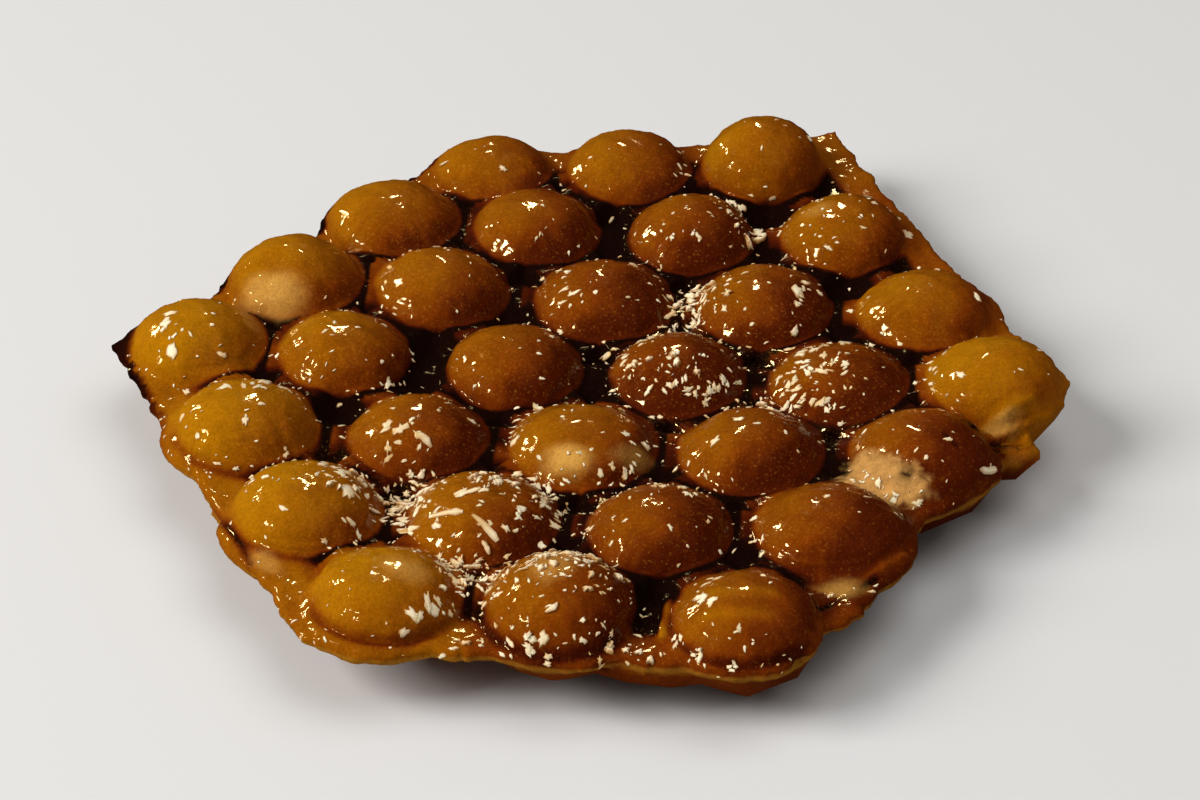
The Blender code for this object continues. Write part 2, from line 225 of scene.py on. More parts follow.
@dataclass
class SheetOutline:
    """The thin sheet's edge: straight sides, a round lobe at each bubble, ragged all round."""

    bubbles: list[Bubble]
    rim: float = 0.0006
    sides: tuple[tuple[str, str, float, float], ...] = (
        ("A3", "A1", 0.0154, 0.0096),
        ("A1", "D1", 0.0132, 0.0130),
        ("D1", "G1", 0.0162, 0.0190),
        ("G1", "G3", 0.0135, 0.0135),
        ("G3", "D6", 0.0126, 0.0109),
        ("D6", "A3", 0.0139, 0.0227),
    )
    notch_blend: float = 0.0014
    ragged: float = 0.0011
    ragged_length: float = 0.0075
    fine_ragged: float = 0.0007
    fine_length: float = 0.0016
    tabs: tuple[tuple[float, float, float], ...] = ((182.0, 1.5, 0.0006), (307.5, 5.0, 0.0056))
    coarse_points: int = 360
    fine_points: int = 1440

    def side_lines(self) -> list[tuple[Vector, Vector]]:
        """Each side as a point on its line and the line's outward normal."""
        spots = {bubble.name: Vector((bubble.x, bubble.y)) for bubble in self.bubbles}
        lines = []
        for first, last, margin_first, margin_last in self.sides:
            along = (spots[last] - spots[first]).normalized()
            out = Vector((along.y, -along.x))
            start = spots[first] + out * margin_first
            end = spots[last] + out * margin_last
            along = (end - start).normalized()
            lines.append((start, Vector((along.y, -along.x))))
        return lines

    def reach_in_circle(self, bubble: Bubble, along: Vector) -> float:
        """How far a ray from the middle gets before it leaves the bubble's rim, or 0."""
        spot = Vector((bubble.x, bubble.y))
        middle = spot.dot(along)
        half = (bubble.radius + self.rim) ** 2 - (spot.length_squared - middle**2)
        return middle + math.sqrt(half) if half > 0 else 0.0

    def reach(self, lines: list[tuple[Vector, Vector]], degrees: float) -> float:
        """Distance from the middle to the edge.

        Args:
            lines: The straight sides.
            degrees: The direction.

        Returns:
            The distance, with the slow raggedness and the tabs.
        """
        along = Vector((math.cos(math.radians(degrees)), math.sin(math.radians(degrees))))
        ends = [start.dot(out) / along.dot(out) for start, out in lines if along.dot(out) > 0]
        reaches = [min(ends)] + [self.reach_in_circle(bubble, along) for bubble in self.bubbles]
        longest = max(reaches)
        total = sum(math.exp((reach - longest) / self.notch_blend) for reach in reaches)
        reach = longest + self.notch_blend * math.log(total)
        slow = along * reach / self.ragged_length
        reach += self.ragged * noise.fractal((*slow, 0), 0.6, 2.3, 3)
        for middle, half_width, length in self.tabs:
            reach += length * max(0.0, 1 - abs(degrees - middle) / half_width) ** 0.5
        return reach

    def points(self, count: int, fine: bool) -> list[tuple[float, float]]:
        """The edge as flat points, counter-clockwise.

        Args:
            count: How many points.
            fine: Whether the small torn crumbs of the edge are added.

        Returns:
            The points.
        """
        lines = self.side_lines()
        found = []
        for step in range(count):
            degrees = 360 * step / count
            reach = self.reach(lines, degrees)
            turn = math.radians(degrees)
            x, y = reach * math.cos(turn), reach * math.sin(turn)
            if fine:
                bite = noise.fractal((x / self.fine_length, y / self.fine_length, 3.0), 0.8, 2.2, 3)
                reach += self.fine_ragged * bite
                x, y = reach * math.cos(turn), reach * math.sin(turn)
            found.append((x, y))
        return found

    def inward(self, flat: np.ndarray) -> np.ndarray:
        """How far inside the edge each flat place is, past the nearest straight side or lobe."""
        gaps = [start.dot(out) - flat[:, 0] * out.x - flat[:, 1] * out.y for start, out in self.side_lines()]
        inside = np.min(gaps, axis=0)
        for bubble in self.bubbles:
            reach = bubble.radius + self.rim - np.hypot(flat[:, 0] - bubble.x, flat[:, 1] - bubble.y)
            inside = np.maximum(inside, np.where(inside < 0.004, reach, inside))
        return inside

    def middle(self) -> tuple[float, float]:
        """The flat place that comes to lie over the origin."""
        points = self.points(self.coarse_points, fine=False)
        xs = [x for x, _ in points]
        ys = [y for _, y in points]
        return (max(xs) + min(xs)) / 2, (max(ys) + min(ys)) / 2


@dataclass(frozen=True)
class Dish:
    """The shallow twisted dish that the flat waffle is bent into, and its middle's height."""

    span: float = 0.1
    rise_x: float = 0.0056
    rise_y: float = 0.0034
    twist: float = -0.0013
    middle_height: float = 0.0106

    def rise(self, x: np.ndarray, y: np.ndarray) -> np.ndarray:
        """Height of the dished sheet over its middle."""
        across, back = x / self.span, y / self.span
        return self.rise_x * across**2 + self.rise_y * back**2 + self.twist * across * back


@dataclass
class Surface:
    """Where each point of the skin lies on the flat waffle, next to its nearest bubble."""

    points: np.ndarray
    nearest: np.ndarray
    offset: np.ndarray
    share_out: np.ndarray
    pair_out: np.ndarray
    lift: np.ndarray

    @classmethod
    def of(cls, points: np.ndarray, bubbles: list[Bubble]) -> "Surface":
        """Measure the points against the bubbles.

        Args:
            points: Flat places, one row each.
            bubbles: The bubbles.

        Returns:
            The nearest bubble's number, the offset from its middle, that as a share of its radius,
            the same share for the two nearest bubbles together, and the height as a share of its
            rise or depth.
        """
        middles = np.array([(bubble.x, bubble.y) for bubble in bubbles])
        radii = np.array([bubble.radius for bubble in bubbles])
        heights = np.array([bubble.height for bubble in bubbles])
        depths = np.array([bubble.depth for bubble in bubbles])
        gaps = np.linalg.norm(points[:, None, :2] - middles[None], axis=2) / radii[None]
        nearest = gaps.argmin(axis=1)
        offset = points[:, :2] - middles[nearest]
        share_out = gaps[np.arange(len(points)), nearest]
        pair_out = np.partition(gaps, 1, axis=1)[:, :2].sum(axis=1)
        full = np.where(points[:, 2] > 0, heights[nearest], depths[nearest])
        return cls(points, nearest, offset, share_out, pair_out, points[:, 2] / full)


@dataclass(frozen=True)
class Flap:
    """A flap of batter that hangs under the sheet: its middle, three radii and turn in degrees."""

    spot: Place
    radii: Place
    turn: float


@dataclass(frozen=True)
class Ring:
    """Low rings pressed round the foot of one bubble, on one side of it."""

    bubble: str
    facing: float
    spread: float
    first: float
    gap: float
    count: int
    depth: float


@dataclass(frozen=True)
class Dent:
    """A shallow dent or swelling on one bubble, at an offset from its middle."""

    bubble: str
    x: float
    y: float
    radius: float
    depth: float


@dataclass(frozen=True)
class Ridge:
    """A narrow ridge or groove on the upper side: its two flat ends, half width, rise and bake change; the
    bake change paints shade into the grooves.
    """

    start_x: float
    start_y: float
    end_x: float
    end_y: float
    half_width: float
    rise: float
    bake: float

    def share(self, flat: np.ndarray) -> np.ndarray:
        """How much of the ridge each flat place has."""
        start = np.array((self.start_x, self.start_y))
        whole = np.array((self.end_x, self.end_y)) - start
        along = whole / np.linalg.norm(whole)
        away = flat[:, :2] - start
        run = np.clip(away @ along, 0, np.linalg.norm(whole))
        gap = np.linalg.norm(away - run[:, None] * along, axis=1) / self.half_width
        return np.exp(-(gap**2)) * (flat[:, 2] > -0.0006)


@dataclass
class WaffleSkin:
    """The baked skin of the whole waffle as one closed mesh."""

    grid: BubbleGrid
    bubbles: list[Bubble]
    edge: SheetOutline
    dish: Dish
    sheet_thickness: float = 0.0027
    wave: float = 0.00045
    wave_length: float = 0.012
    lump: float = 0.00026
    lump_length: float = 0.0042
    flute: float = 0.00012
    grain: float = 0.00009
    grain_length: float = 0.0016
    voxel: float = 0.00078
    smoothing_steps: int = 7
    triangles: int = 192000
    hidden_depth: float = 0.0050
    hidden_thinning: float = 0.4
    shoulders: tuple[tuple[str, float, float], ...] = (
        ("B4", 15, 0.0022),
        ("C5", 5, 0.0014),
        ("E1", 188, 0.0016),
        ("F1", 250, 0.0028),
        ("F4", 285, 0.0020),
        ("G1", 235, 0.0014),
        ("G3", 195, 0.0016),
    )
    shoulder_extra: float = 0.0012
    shoulder_height: float = 0.0048
    ridges: tuple[Ridge, ...] = rows_of(
        Ridge,
        (0, 1, 2, 3, 4, 5),
        (
            (21.3, -75.1, 20.6, -86.2, 0.7, 1.1, -0.7), (79, -21.5, 92.4, -14.6, 1, -1.6, 0.95),
            (79.5, -16.5, 90.5, -10.5, 0.9, 0.5, -0.25), (29, -80.5, 41, -80, 1.5, 0.06, -0.24),
            (29, -86, 40.5, -86.2, 1.3, 0.06, -0.2), (-74.5, -48, -60, -70.5, 0.8, -0.6, 0.5),
            (-93.5, -23.5, -82, -44, 0.8, -0.5, 0.45), (53, -73.5, 65.5, -59, 0.8, 0.5, -0.2),
            (49.5, -76.5, 60, -66.5, 0.7, -0.4, 0.35),
        ),
    )
    # Small holes and a slit, sunk into the skin and painted near burnt black as shade.
    shaded_holes: tuple[Ridge, ...] = rows_of(
        Ridge,
        (0, 1, 2, 3, 4, 5),
        (
            (64.9, -36.5, 65.9, -37.2, 0.9, -0.9, 1), (73, -28.7, 75.2, -31.5, 0.5, -0.4, 0.7),
            (82.3, -22.6, 91.3, -17.7, 0.9, -1, 0.9),
        ),
    )
    saddle: float = 0.0036
    saddle_span: Range = (2.26, 2.50)
    saddle_blend: float = 0.0007
    pit: float = 0.0012
    pit_span: Range = (2.42, 2.62)
    flaps: tuple[Flap, ...] = (
        Flap((0.0852, -0.0198, -0.0026), (0.0080, 0.0055, 0.0030), 28),
        Flap((0.0205, -0.0875, -0.0030), (0.0150, 0.0055, 0.0042), 0),
    )
    torn_bubble: str = "E5"
    tear_angle: float = 234
    tear_rise: float = 29
    tear_radii: Place = (0.0036, 0.0092, 0.0048)
    tear_depth: float = 0.0015
    rings: tuple[Ring, ...] = rows_of(
        Ring,
        (6,),
        (
            ("E1", 200, 75, 0.8, 0.075, 3, 0.22), ("F1", 245, 65, 0.86, 0.07, 2, 0.22),
            ("G1", 205, 80, 0.62, 0.09, 4, 0.2), ("F4", 262, 60, 0.84, 0.08, 2, 0.2),
            ("D1", 330, 60, 0.86, 0.09, 1, 0.18), ("G1", 270, 85, 0.98, 0.15, 1, 0.8),
            ("G3", 270, 80, 1.02, 0.15, 1, 0.6),
        ),
    )
    dents: tuple[Dent, ...] = rows_of(
        Dent,
        (1, 2, 3, 4),
        (
            ("C1", -4.5, -5.5, 7.5, 0.7), ("E3", 1, -6, 7.5, 0.3), ("G1", 3, 1, 9, 0.2),
            ("E5", -7, -6, 7.5, 0.7), ("A3", -4, -3, 6, 0.4), ("F2", 5, 3, 6, 0.5),
            ("D2", 6, 5, 7, 0.5),
        ),
    )

    def rounded(self, spot: Place, radii: Place, turn: float = 0.0) -> bpy.types.Object:
        """A sphere stretched to three radii.

        Args:
            spot: Its middle.
            radii: Its three radii.
            turn: Its turn about the upright, in radians.

        Returns:
            The sphere, with its size in its mesh.
        """
        bpy.ops.mesh.primitive_uv_sphere_add(segments=48, ring_count=28, radius=1)
        ball = bpy.context.object
        place = Matrix.Translation(spot) @ Matrix.Rotation(turn, 4, "Z")
        ball.data.transform(place @ Matrix.Diagonal((*radii, 1)))
        return ball

    def bubble_balls(self) -> list[bpy.types.Object]:
        """One ball for each bubble, higher above the sheet than below it, and the low shoulders."""
        balls = []
        by_name = {bubble.name: bubble for bubble in self.bubbles}
        for bubble in self.bubbles:
            ball = self.rounded((bubble.x, bubble.y, 0), (bubble.radius, bubble.radius, 1))
            for vertex in ball.data.vertices:
                vertex.co.z *= bubble.height if vertex.co.z > 0 else bubble.depth
            balls.append(ball)
        for name, facing, shift in self.shoulders:
            bubble = by_name[name]
            x = bubble.x + shift * math.cos(math.radians(facing))
            y = bubble.y + shift * math.sin(math.radians(facing))
            radius = bubble.radius + self.shoulder_extra
            balls.append(self.rounded((x, y, 0), (radius, radius, self.shoulder_height)))
        balls.extend(self.rounded(flap.spot, flap.radii, math.radians(flap.turn)) for flap in self.flaps)
        return balls

    def sheet(self) -> bpy.types.Object:
        """The thin sheet with its ragged edge."""
        curve = bpy.data.curves.new("sheet", "CURVE")
        curve.dimensions = "2D"
        curve.fill_mode = "BOTH"
        curve.extrude = self.sheet_thickness / 2
        spline = curve.splines.new("POLY")
        points = self.edge.points(self.edge.fine_points, fine=True)
        spline.points.add(len(points) - 1)
        for point, (x, y) in zip(spline.points, points):
            point.co = (x, y, 0, 1)
        spline.use_cyclic_u = True
        drawn = bpy.data.objects.new("sheet_outline", curve)
        bpy.context.scene.collection.objects.link(drawn)
        solid = bpy.data.objects.new("sheet", mesh_of(drawn))
        bpy.context.scene.collection.objects.link(solid)
        bpy.data.objects.remove(drawn)
        return solid

    def melt(self, solids: list[bpy.types.Object]) -> bpy.types.Object:
        """Join overlapping solids and melt them into one skin with soft creases.

        Args:
            solids: The overlapping solids.

        Returns:
            The one skin.
        """
        skin = solids[0]
        with bpy.context.temp_override(active_object=skin, selected_editable_objects=solids):
            bpy.ops.object.join()
        skin.name = "waffle_skin"
        remesh = skin.modifiers.new("skin", "REMESH")
        remesh.mode = "VOXEL"
        remesh.voxel_size = self.voxel
        smooth = skin.modifiers.new("soften", "SMOOTH")
        smooth.factor = 0.5
        smooth.iterations = self.smoothing_steps
        apply_modifiers(skin)
        return skin

    def crease_relief(self, surface: Surface) -> np.ndarray:
        """How much higher the neck between two bubbles is, and how much deeper the pit between three.

        Args:
            surface: The points against the bubbles.

        Returns:
            The rise of each point on the upper side.
        """
        height = surface.points[:, 2]
        inside = ramp(self.edge.inward(surface.points), 0.009, 0.015) * ramp(height, 0.0002, 0.0010)
        uneven = 1 + 0.35 * noise_field(surface.points, 0.013, 2, 6.0)
        neck = self.saddle * uneven * (1 - ramp(surface.pair_out, *self.saddle_span))
        level = self.sheet_thickness / 2 - 0.0010 + neck
        blend = self.saddle_blend
        raised = blend * np.logaddexp(height / blend, level / blend) - height
        sunk = self.pit * ramp(surface.pair_out, *self.pit_span) * ramp(surface.share_out, 0.98, 1.16)
        return inside * (raised - sunk)

    def ring_relief(self, surface: Surface) -> np.ndarray:
        """How much the pressed rings lower each point."""
        relief = np.zeros(len(surface.points))
        names = [bubble.name for bubble in self.bubbles]
        angle = np.degrees(np.arctan2(surface.offset[:, 1], surface.offset[:, 0]))
        for ring in self.rings:
            here = (surface.nearest == names.index(ring.bubble)) & (surface.points[:, 2] > -0.001)
            turn = np.abs((angle - ring.facing + 180) % 360 - 180)
            fade = here * (1 - ramp(turn, ring.spread * 0.5, ring.spread))
            for number in range(ring.count):
                middle = ring.first + number * ring.gap
                groove = np.exp(-(((surface.share_out - middle) / (ring.gap * 0.28)) ** 2))
                relief -= ring.depth * groove * fade
        return relief

    def crumple(self, surface: Surface) -> np.ndarray:
        """How much the thin sheet outside the bubbles is crumpled, most at the right corner."""
        inward = self.edge.inward(surface.points)
        gap = np.hypot(surface.points[:, 0] - 0.088, surface.points[:, 1] + 0.021)
        corner = 1 - ramp(gap, 0.006, 0.012)
        rim = (1 - ramp(inward, 0.003, 0.010)) * ramp(surface.share_out, 1.0, 1.12)
        return (0.00022 * rim + 0.00050 * corner) * noise_field(surface.points, 0.0034, 3, 12.0)

    def fluting(self, surface: Surface) -> np.ndarray:
        """Fine wrinkles that run down the bubbles' sides, about -1 to 1."""
        angle = np.arctan2(surface.offset[:, 1], surface.offset[:, 0])
        along = 0.9 * surface.share_out + surface.nearest * 5.3
        near = np.stack((3.2 * np.cos(angle), 3.2 * np.sin(angle), along), axis=1)
        side = ramp(surface.share_out, 0.30, 0.62) * (1 - ramp(surface.share_out, 0.96, 1.06))
        return side * (surface.points[:, 2] > 0) * noise_field(near, 0.42, 3)

    def dent_relief(self, surface: Surface) -> np.ndarray:
        """How much the dents lower each point."""
        relief = np.zeros(len(surface.points))
        names = [bubble.name for bubble in self.bubbles]
        for dent in self.dents:
            here = (surface.nearest == names.index(dent.bubble)) & (surface.points[:, 2] > 0)
            gap = np.hypot(surface.offset[:, 0] - dent.x, surface.offset[:, 1] - dent.y) / dent.radius
            relief -= dent.depth * here * (1 - ramp(gap, 0.2, 1.0))
        return relief

    def tear_relief(self, surface: Surface) -> tuple[np.ndarray, np.ndarray]:
        """The torn place's depth along the normal, and how torn each point is."""
        bubble = next(b for b in self.bubbles if b.name == self.torn_bubble)
        turn, rise = math.radians(self.tear_angle), math.radians(self.tear_rise)
        out = np.array((math.cos(turn) * math.cos(rise), math.sin(turn) * math.cos(rise), math.sin(rise)))
        wall = out * np.array((bubble.radius, bubble.radius, bubble.height))
        spot = np.array((bubble.x, bubble.y, 0)) + wall
        side = np.array((-math.sin(turn), math.cos(turn), 0))
        up = np.cross(out, side)
        away = surface.points - spot
        along = away @ side / self.tear_radii[1]
        over = away @ up / self.tear_radii[2]
        gap = np.sqrt(along**2 + over**2) + 3 * (np.abs(away @ out) > 0.006)
        rough = noise_field(surface.points, 0.0022, 4, 5.0)
        torn = 1 - ramp(gap + rough * 0.22, 0.80, 0.98)
        bared = 1 - ramp(gap / 1.18 + rough * 0.16, 0.70, 1.0)
        return -torn * (self.tear_depth * 0.75 + 0.0004 * rough), bared

    def relief(self, skin: bpy.types.Object) -> None:
        """Move the flat skin's points for every wave, dent, ring, wrinkle and tear, then dish it."""
        mesh = skin.data
        points = read_points(mesh)
        normals = np.empty(len(points) * 3)
        mesh.vertex_normals.foreach_get("vector", normals)
        normals = normals.reshape(-1, 3)
        surface = Surface.of(points, self.bubbles)
        on_dome = ramp(np.abs(surface.lift), 0.05, 0.4)
        moved = self.wave * np.array([noise.noise(Vector(row)) for row in points / self.wave_length])
        moved += self.lump * noise_field(points, self.lump_length, 3, 1.0)
        moved += self.flute * self.fluting(surface)
        moved += self.grain * noise_field(points, self.grain_length, 2, 2.0) * (0.35 + 0.65 * (1 - on_dome))
        moved += self.ring_relief(surface)
        moved += self.dent_relief(surface)
        moved += self.tear_relief(surface)[0]
        moved += sum(ridge.rise * ridge.share(points) for ridge in self.ridges + self.shaded_holes)
        moved += self.crumple(surface)
        points = points + normals * moved[:, None]
        points[:, 2] += self.crease_relief(surface)
        middle_x, middle_y = self.edge.middle()
        points[:, 2] += self.dish.middle_height + self.dish.rise(points[:, 0], points[:, 1])
        points[:, 0] -= middle_x
        points[:, 1] -= middle_y
        points[:, 2] = np.maximum(points[:, 2], 0.0)
        write_points(mesh, points)

    def flat_points(self, points: np.ndarray) -> np.ndarray:
        """Where points of the finished waffle lay on the flat one."""
        middle_x, middle_y = self.edge.middle()
        flat = points.copy()
        flat[:, 0] += middle_x
        flat[:, 1] += middle_y
        flat[:, 2] -= self.dish.middle_height + self.dish.rise(flat[:, 0], flat[:, 1])
        return flat

    def lighten_underside(self, skin: bpy.types.Object) -> None:
        """Thin out the mesh, most where it faces down."""
        flat = self.flat_points(read_points(skin.data))
        group = skin.vertex_groups.new(name="hidden")
        weights = ramp(flat[:, 2], 0.0, -self.hidden_depth)
        for level in range(1, 5):
            chosen = np.nonzero(np.round(weights * 4) == level)[0]
            group.add(chosen.tolist(), level / 4, "REPLACE")
        skin.data.calc_loop_triangles()
        thin = skin.modifiers.new("thin_out", "DECIMATE")
        thin.ratio = min(1.0, self.triangles / len(skin.data.loop_triangles))
        thin.vertex_group = group.name
        thin.vertex_group_factor = self.hidden_thinning
        thin.use_collapse_triangulate = True
        apply_modifiers(skin)
        skin.vertex_groups.clear()

    def build(self) -> bpy.types.Object:
        """Make the whole skin."""
        skin = self.melt(self.bubble_balls() + [self.sheet()])
        self.relief(skin)
        self.lighten_underside(skin)
        skin.data.shade_smooth()
        return skin


def mesh_of(obj: bpy.types.Object) -> bpy.types.Mesh:
    """A copy of the object's mesh with its modifiers applied."""
    bpy.context.view_layer.update()
    return bpy.data.meshes.new_from_object(obj.evaluated_get(bpy.context.evaluated_depsgraph_get()))


def apply_modifiers(obj: bpy.types.Object) -> None:
    """Replace the object's mesh by what its modifiers make of it."""
    mesh = mesh_of(obj)
    obj.modifiers.clear()
    obj.data = mesh


def read_points(mesh: bpy.types.Mesh) -> np.ndarray:
    """The mesh's points, one row each."""
    points = np.empty(len(mesh.vertices) * 3)
    mesh.vertices.foreach_get("co", points)
    return points.reshape(-1, 3)


def write_points(mesh: bpy.types.Mesh, points: np.ndarray) -> None:
    """Put the points back into the mesh."""
    mesh.vertices.foreach_set("co", points.ravel())
    mesh.update()


def write_colours(mesh: bpy.types.Mesh, stored: Stored, colours: np.ndarray) -> None:
    """Store one colour for each point of the mesh."""
    layer = mesh.attributes.new(stored.value, "FLOAT_COLOR", "POINT")
    layer.data.foreach_set("color", np.hstack((colours, np.ones((len(colours), 1)))).ravel())


def write_values(mesh: bpy.types.Mesh, stored: Stored, values: np.ndarray) -> None:
    """Store one number for each point of the mesh."""
    layer = mesh.attributes.new(stored.value, "FLOAT", "POINT")
    layer.data.foreach_set("value", values.astype(np.float32))


@dataclass(frozen=True)
class PaintedHighlight:
    """A paler, smoother place in the crust: a painted highlight standing for a soft reflection of the light.
    """

    bubble: str
    x: float
    y: float
    radius_x: float
    radius_y: float
    turn: float
    strength: float


@dataclass(frozen=True)
class BakeShares:
    """How much each thing adds to the bake colour, on a scale from 0 golden to 1.1 burnt; the feet, far
    sides, creases and pits get painted shade this way.
    """

    mottle: float = 0.12
    mottle_length: float = 0.011
    fine: float = 0.02
    fine_length: float = 0.0022
    wrinkle: float = 0.05
    foot: float = 0.34
    underside: float = 0.14
    painted_shade_side: float = 0.38
    limb: float = 0.17
    dome_limit: float = 0.86
    crease: float = 0.46
    corner: float = 0.75
    front_crease_shade: float = 0.45
    charred: float = 0.8


@dataclass
class Zones:
    """Where each point lies, as shares from 0 to 1, and how far it faces the side of its bubble that gets
    painted shade.
    """

    top: np.ndarray
    inward: np.ndarray
    apron: np.ndarray
    inside: np.ndarray
    flats: np.ndarray
    away: np.ndarray
    angle: np.ndarray


@dataclass
class CrustPaint:
    """The baked colour of every point of the skin, with painted shade in its creases, pits, holes, feet and
    far sides, and painted highlights in pale patches.
    """

    bubbles: list[Bubble]
    add: BakeShares = BakeShares()
    bake_steps: tuple[float, ...] = (0.0, 0.33, 0.66, 0.88, 1.1)
    bake_blend: float = 0.0095
    golden: Colour = (0.352, 0.132, 0.001)
    amber: Colour = (0.262, 0.077, 0.001)
    brown: Colour = (0.165, 0.029, 0.001)
    dark: Colour = (0.062, 0.0065, 0.0008)
    burnt: Colour = (0.006, 0.0015, 0.0008)
    edge_gold: Colour = (0.40, 0.18, 0.015)
    # Painted highlight: the colour of the pale patches, soft reflections of the light.
    pale: Colour = (0.58, 0.30, 0.060)
    torn: Colour = (0.46, 0.235, 0.065)
    # Direction from each bubble's middle towards its side that gets painted shade.
    painted_shade_direction: tuple[float, float] = (0.96, -0.28)
    lit_pits: tuple[tuple[float, float], ...] = (
        (0.0170, 0.0177),
        (0.0340, 0.0088),
        (0.0340, -0.0088),
        (0.0170, -0.0177),
        (0.0510, -0.0177),
        (-0.0340, -0.0442),
        (-0.0170, -0.0707),
        (-0.0510, -0.0353),
    )
    # Soft reflections of the light, painted as pale patches on the bubbles.
    highlight_patches: tuple[PaintedHighlight, ...] = rows_of(
        PaintedHighlight,
        (1, 2, 3, 4),
        (
            ("C1", -3.5, -10, 8.5, 5.2, 345, 0.72), ("E3", -2, -9.5, 5.8, 4, 350, 0.9),
            ("E3", 10.5, -6, 5, 3, 30, 0.3), ("F1", -5, -16.5, 5, 2.2, 325, 0.4),
            ("D6", 1, -15, 5.5, 1.6, 22, 0.6), ("F4", 2.2, -18.5, 6, 3, 10, 0.5),
            ("G1", 3.5, 1, 6, 4, 340, 0.45), ("G2", -1.5, 2, 4.8, 6.2, 340, 0.45),
            ("B4", -6, 1, 4, 3, 20, 0.3),
        ),
    )

    # Painted shade in the creases under these front bubbles: name, how far out and strength.
    front_feet: tuple[tuple[str, float, float], ...] = (
        ("G1", 0.97, 1.0),
        ("G3", 1.0, 0.5),
        ("G2", 1.0, 0.6),
        ("F1", 1.0, 1.0),
        ("E1", 1.0, 1.0),
    )

    def levels(self, bake: np.ndarray) -> np.ndarray:
        """The colour for each degree of baking, 0 golden to 1 burnt."""
        tones = np.array([self.golden, self.amber, self.brown, self.dark, self.burnt])
        return np.stack([np.interp(bake, self.bake_steps, tones[:, channel]) for channel in range(3)], axis=1)

    def front_crease_shade(self, surface: Surface) -> np.ndarray:
        """How much painted shade each point gets in the creases under the front bubbles."""
        names = [bubble.name for bubble in self.bubbles]
        angle = np.degrees(np.arctan2(surface.offset[:, 1], surface.offset[:, 0])) % 360
        share = np.zeros(len(surface.points))
        for name, out, strength in self.front_feet:
            here = surface.nearest == names.index(name)
            band = np.exp(-(((surface.share_out - out) / 0.055) ** 2))
            facing = 1 - ramp(np.abs(angle - 262), 50, 80)
            share += strength * here * band * facing * (surface.points[:, 2] > -0.002)
        return share

    def lit_share(self, flat: np.ndarray) -> np.ndarray:
        """How much each flat place lies in one of the listed pits, which get less painted shade."""
        gaps = [np.hypot(flat[:, 0] - x, flat[:, 1] - y) for x, y in self.lit_pits]
        return 1 - ramp(np.min(gaps, axis=0), 0.003, 0.0085)

    def painted_highlight_share(self, surface: Surface) -> np.ndarray:
        """How much painted highlight each point has, from the pale patches."""
        names = [bubble.name for bubble in self.bubbles]
        share = np.zeros(len(surface.points))
        ragged = noise_field(surface.points, 0.0035, 3, 9.0)
        for patch in self.highlight_patches:
            here = (surface.nearest == names.index(patch.bubble)) & (surface.points[:, 2] > -0.001)
            turn = math.radians(patch.turn)
            x = surface.offset[:, 0] - patch.x
            y = surface.offset[:, 1] - patch.y
            along = (x * math.cos(turn) + y * math.sin(turn)) / patch.radius_x
            over = (y * math.cos(turn) - x * math.sin(turn)) / patch.radius_y
            gap = np.hypot(along, over) + 0.16 * ragged
            share = np.maximum(share, here * patch.strength * (1 - ramp(gap, 0.25, 1.20)))
        return share

    def zones(self, surface: Surface, form: WaffleSkin) -> Zones:
        """Sort the points into the parts of the waffle.

        Args:
            surface: The points against the bubbles.
            form: What made the skin.

        Returns:
            The parts: the upper side, the thin apron near the edge, the field of bubbles inside it,
            the creases and flat places that stay dull, and the side of each bubble that gets painted shade.
        """
        flat = surface.points
        top = flat[:, 2] > 0
        inward = form.edge.inward(flat)
        apron = 1 - ramp(inward, 0.0065, 0.0125)
        # The listed pits get less of the painted crease shade.
        inside = top * (1 - apron) * (1 - 0.62 * self.lit_share(flat))
        wide_crease = inside * ramp(surface.share_out, 0.86, 1.0)
        below = np.where(flat[:, 2] < -0.0008, 1, 0)
        flats = np.maximum(np.maximum(wide_crease, 0.5 * apron * top), below)
        # How far each point lies towards the side of its bubble that gets painted shade.
        away = (surface.offset @ np.array(self.painted_shade_direction)) / form.grid.radius
        angle = np.degrees(np.arctan2(flat[:, 1], flat[:, 0])) % 360
        return Zones(top, inward, apron, inside, flats, away, angle)

    def dome_bake(self, surface: Surface, form: WaffleSkin, zones: Zones, fine: np.ndarray) -> np.ndarray:
        """The bake of the bubbles and the sheet, with painted shade at the feet and on the far sides, without
        the creases.

        Args:
            surface: The points against the bubbles.
            form: What made the skin.
            zones: The parts of the waffle.
            fine: Fine noise at each point.

        Returns:
            The bake of each point.
        """
        flat = surface.points
        bakes = np.array([bubble.bake for bubble in self.bubbles])
        middles = np.array([(bubble.x, bubble.y) for bubble in self.bubbles])
        gaps = np.linalg.norm(flat[:, None, :2] - middles[None], axis=2)
        weights = np.exp(-((gaps / self.bake_blend) ** 2)) + 1e-9
        bake = (weights * bakes[None]).sum(axis=1) / weights.sum(axis=1)
        bake = bake + self.add.mottle * noise_field(flat, self.add.mottle_length, 4, 3.0)
        bake += self.add.fine * fine
        bake += self.add.wrinkle * form.fluting(surface)
        # Painted shade on the low walls at each bubble's foot; the underside is made darker too.
        low = 1 - ramp(surface.lift, 0.05, 0.55)
        under = np.where(zones.top, 0, ramp(-surface.lift, 0.0, 0.15))
        foot = np.where(zones.top, low * (1 - 0.6 * zones.apron), 0)
        bake += self.add.foot * foot + self.add.underside * under
        # Painted shade: each bubble is darker on its side away from the light and lighter on its lit side.
        side = np.where(zones.top, zones.away, 0.2 * zones.away)
        bake += self.add.painted_shade_side * side * ramp(np.abs(surface.lift), 0.1, 0.6)
        # Darker towards each bubble's rim.
        bake += self.add.limb * ramp(surface.share_out, 0.45, 0.92) * (1 - 0.6 * zones.apron)
        return np.minimum(bake, self.add.dome_limit)

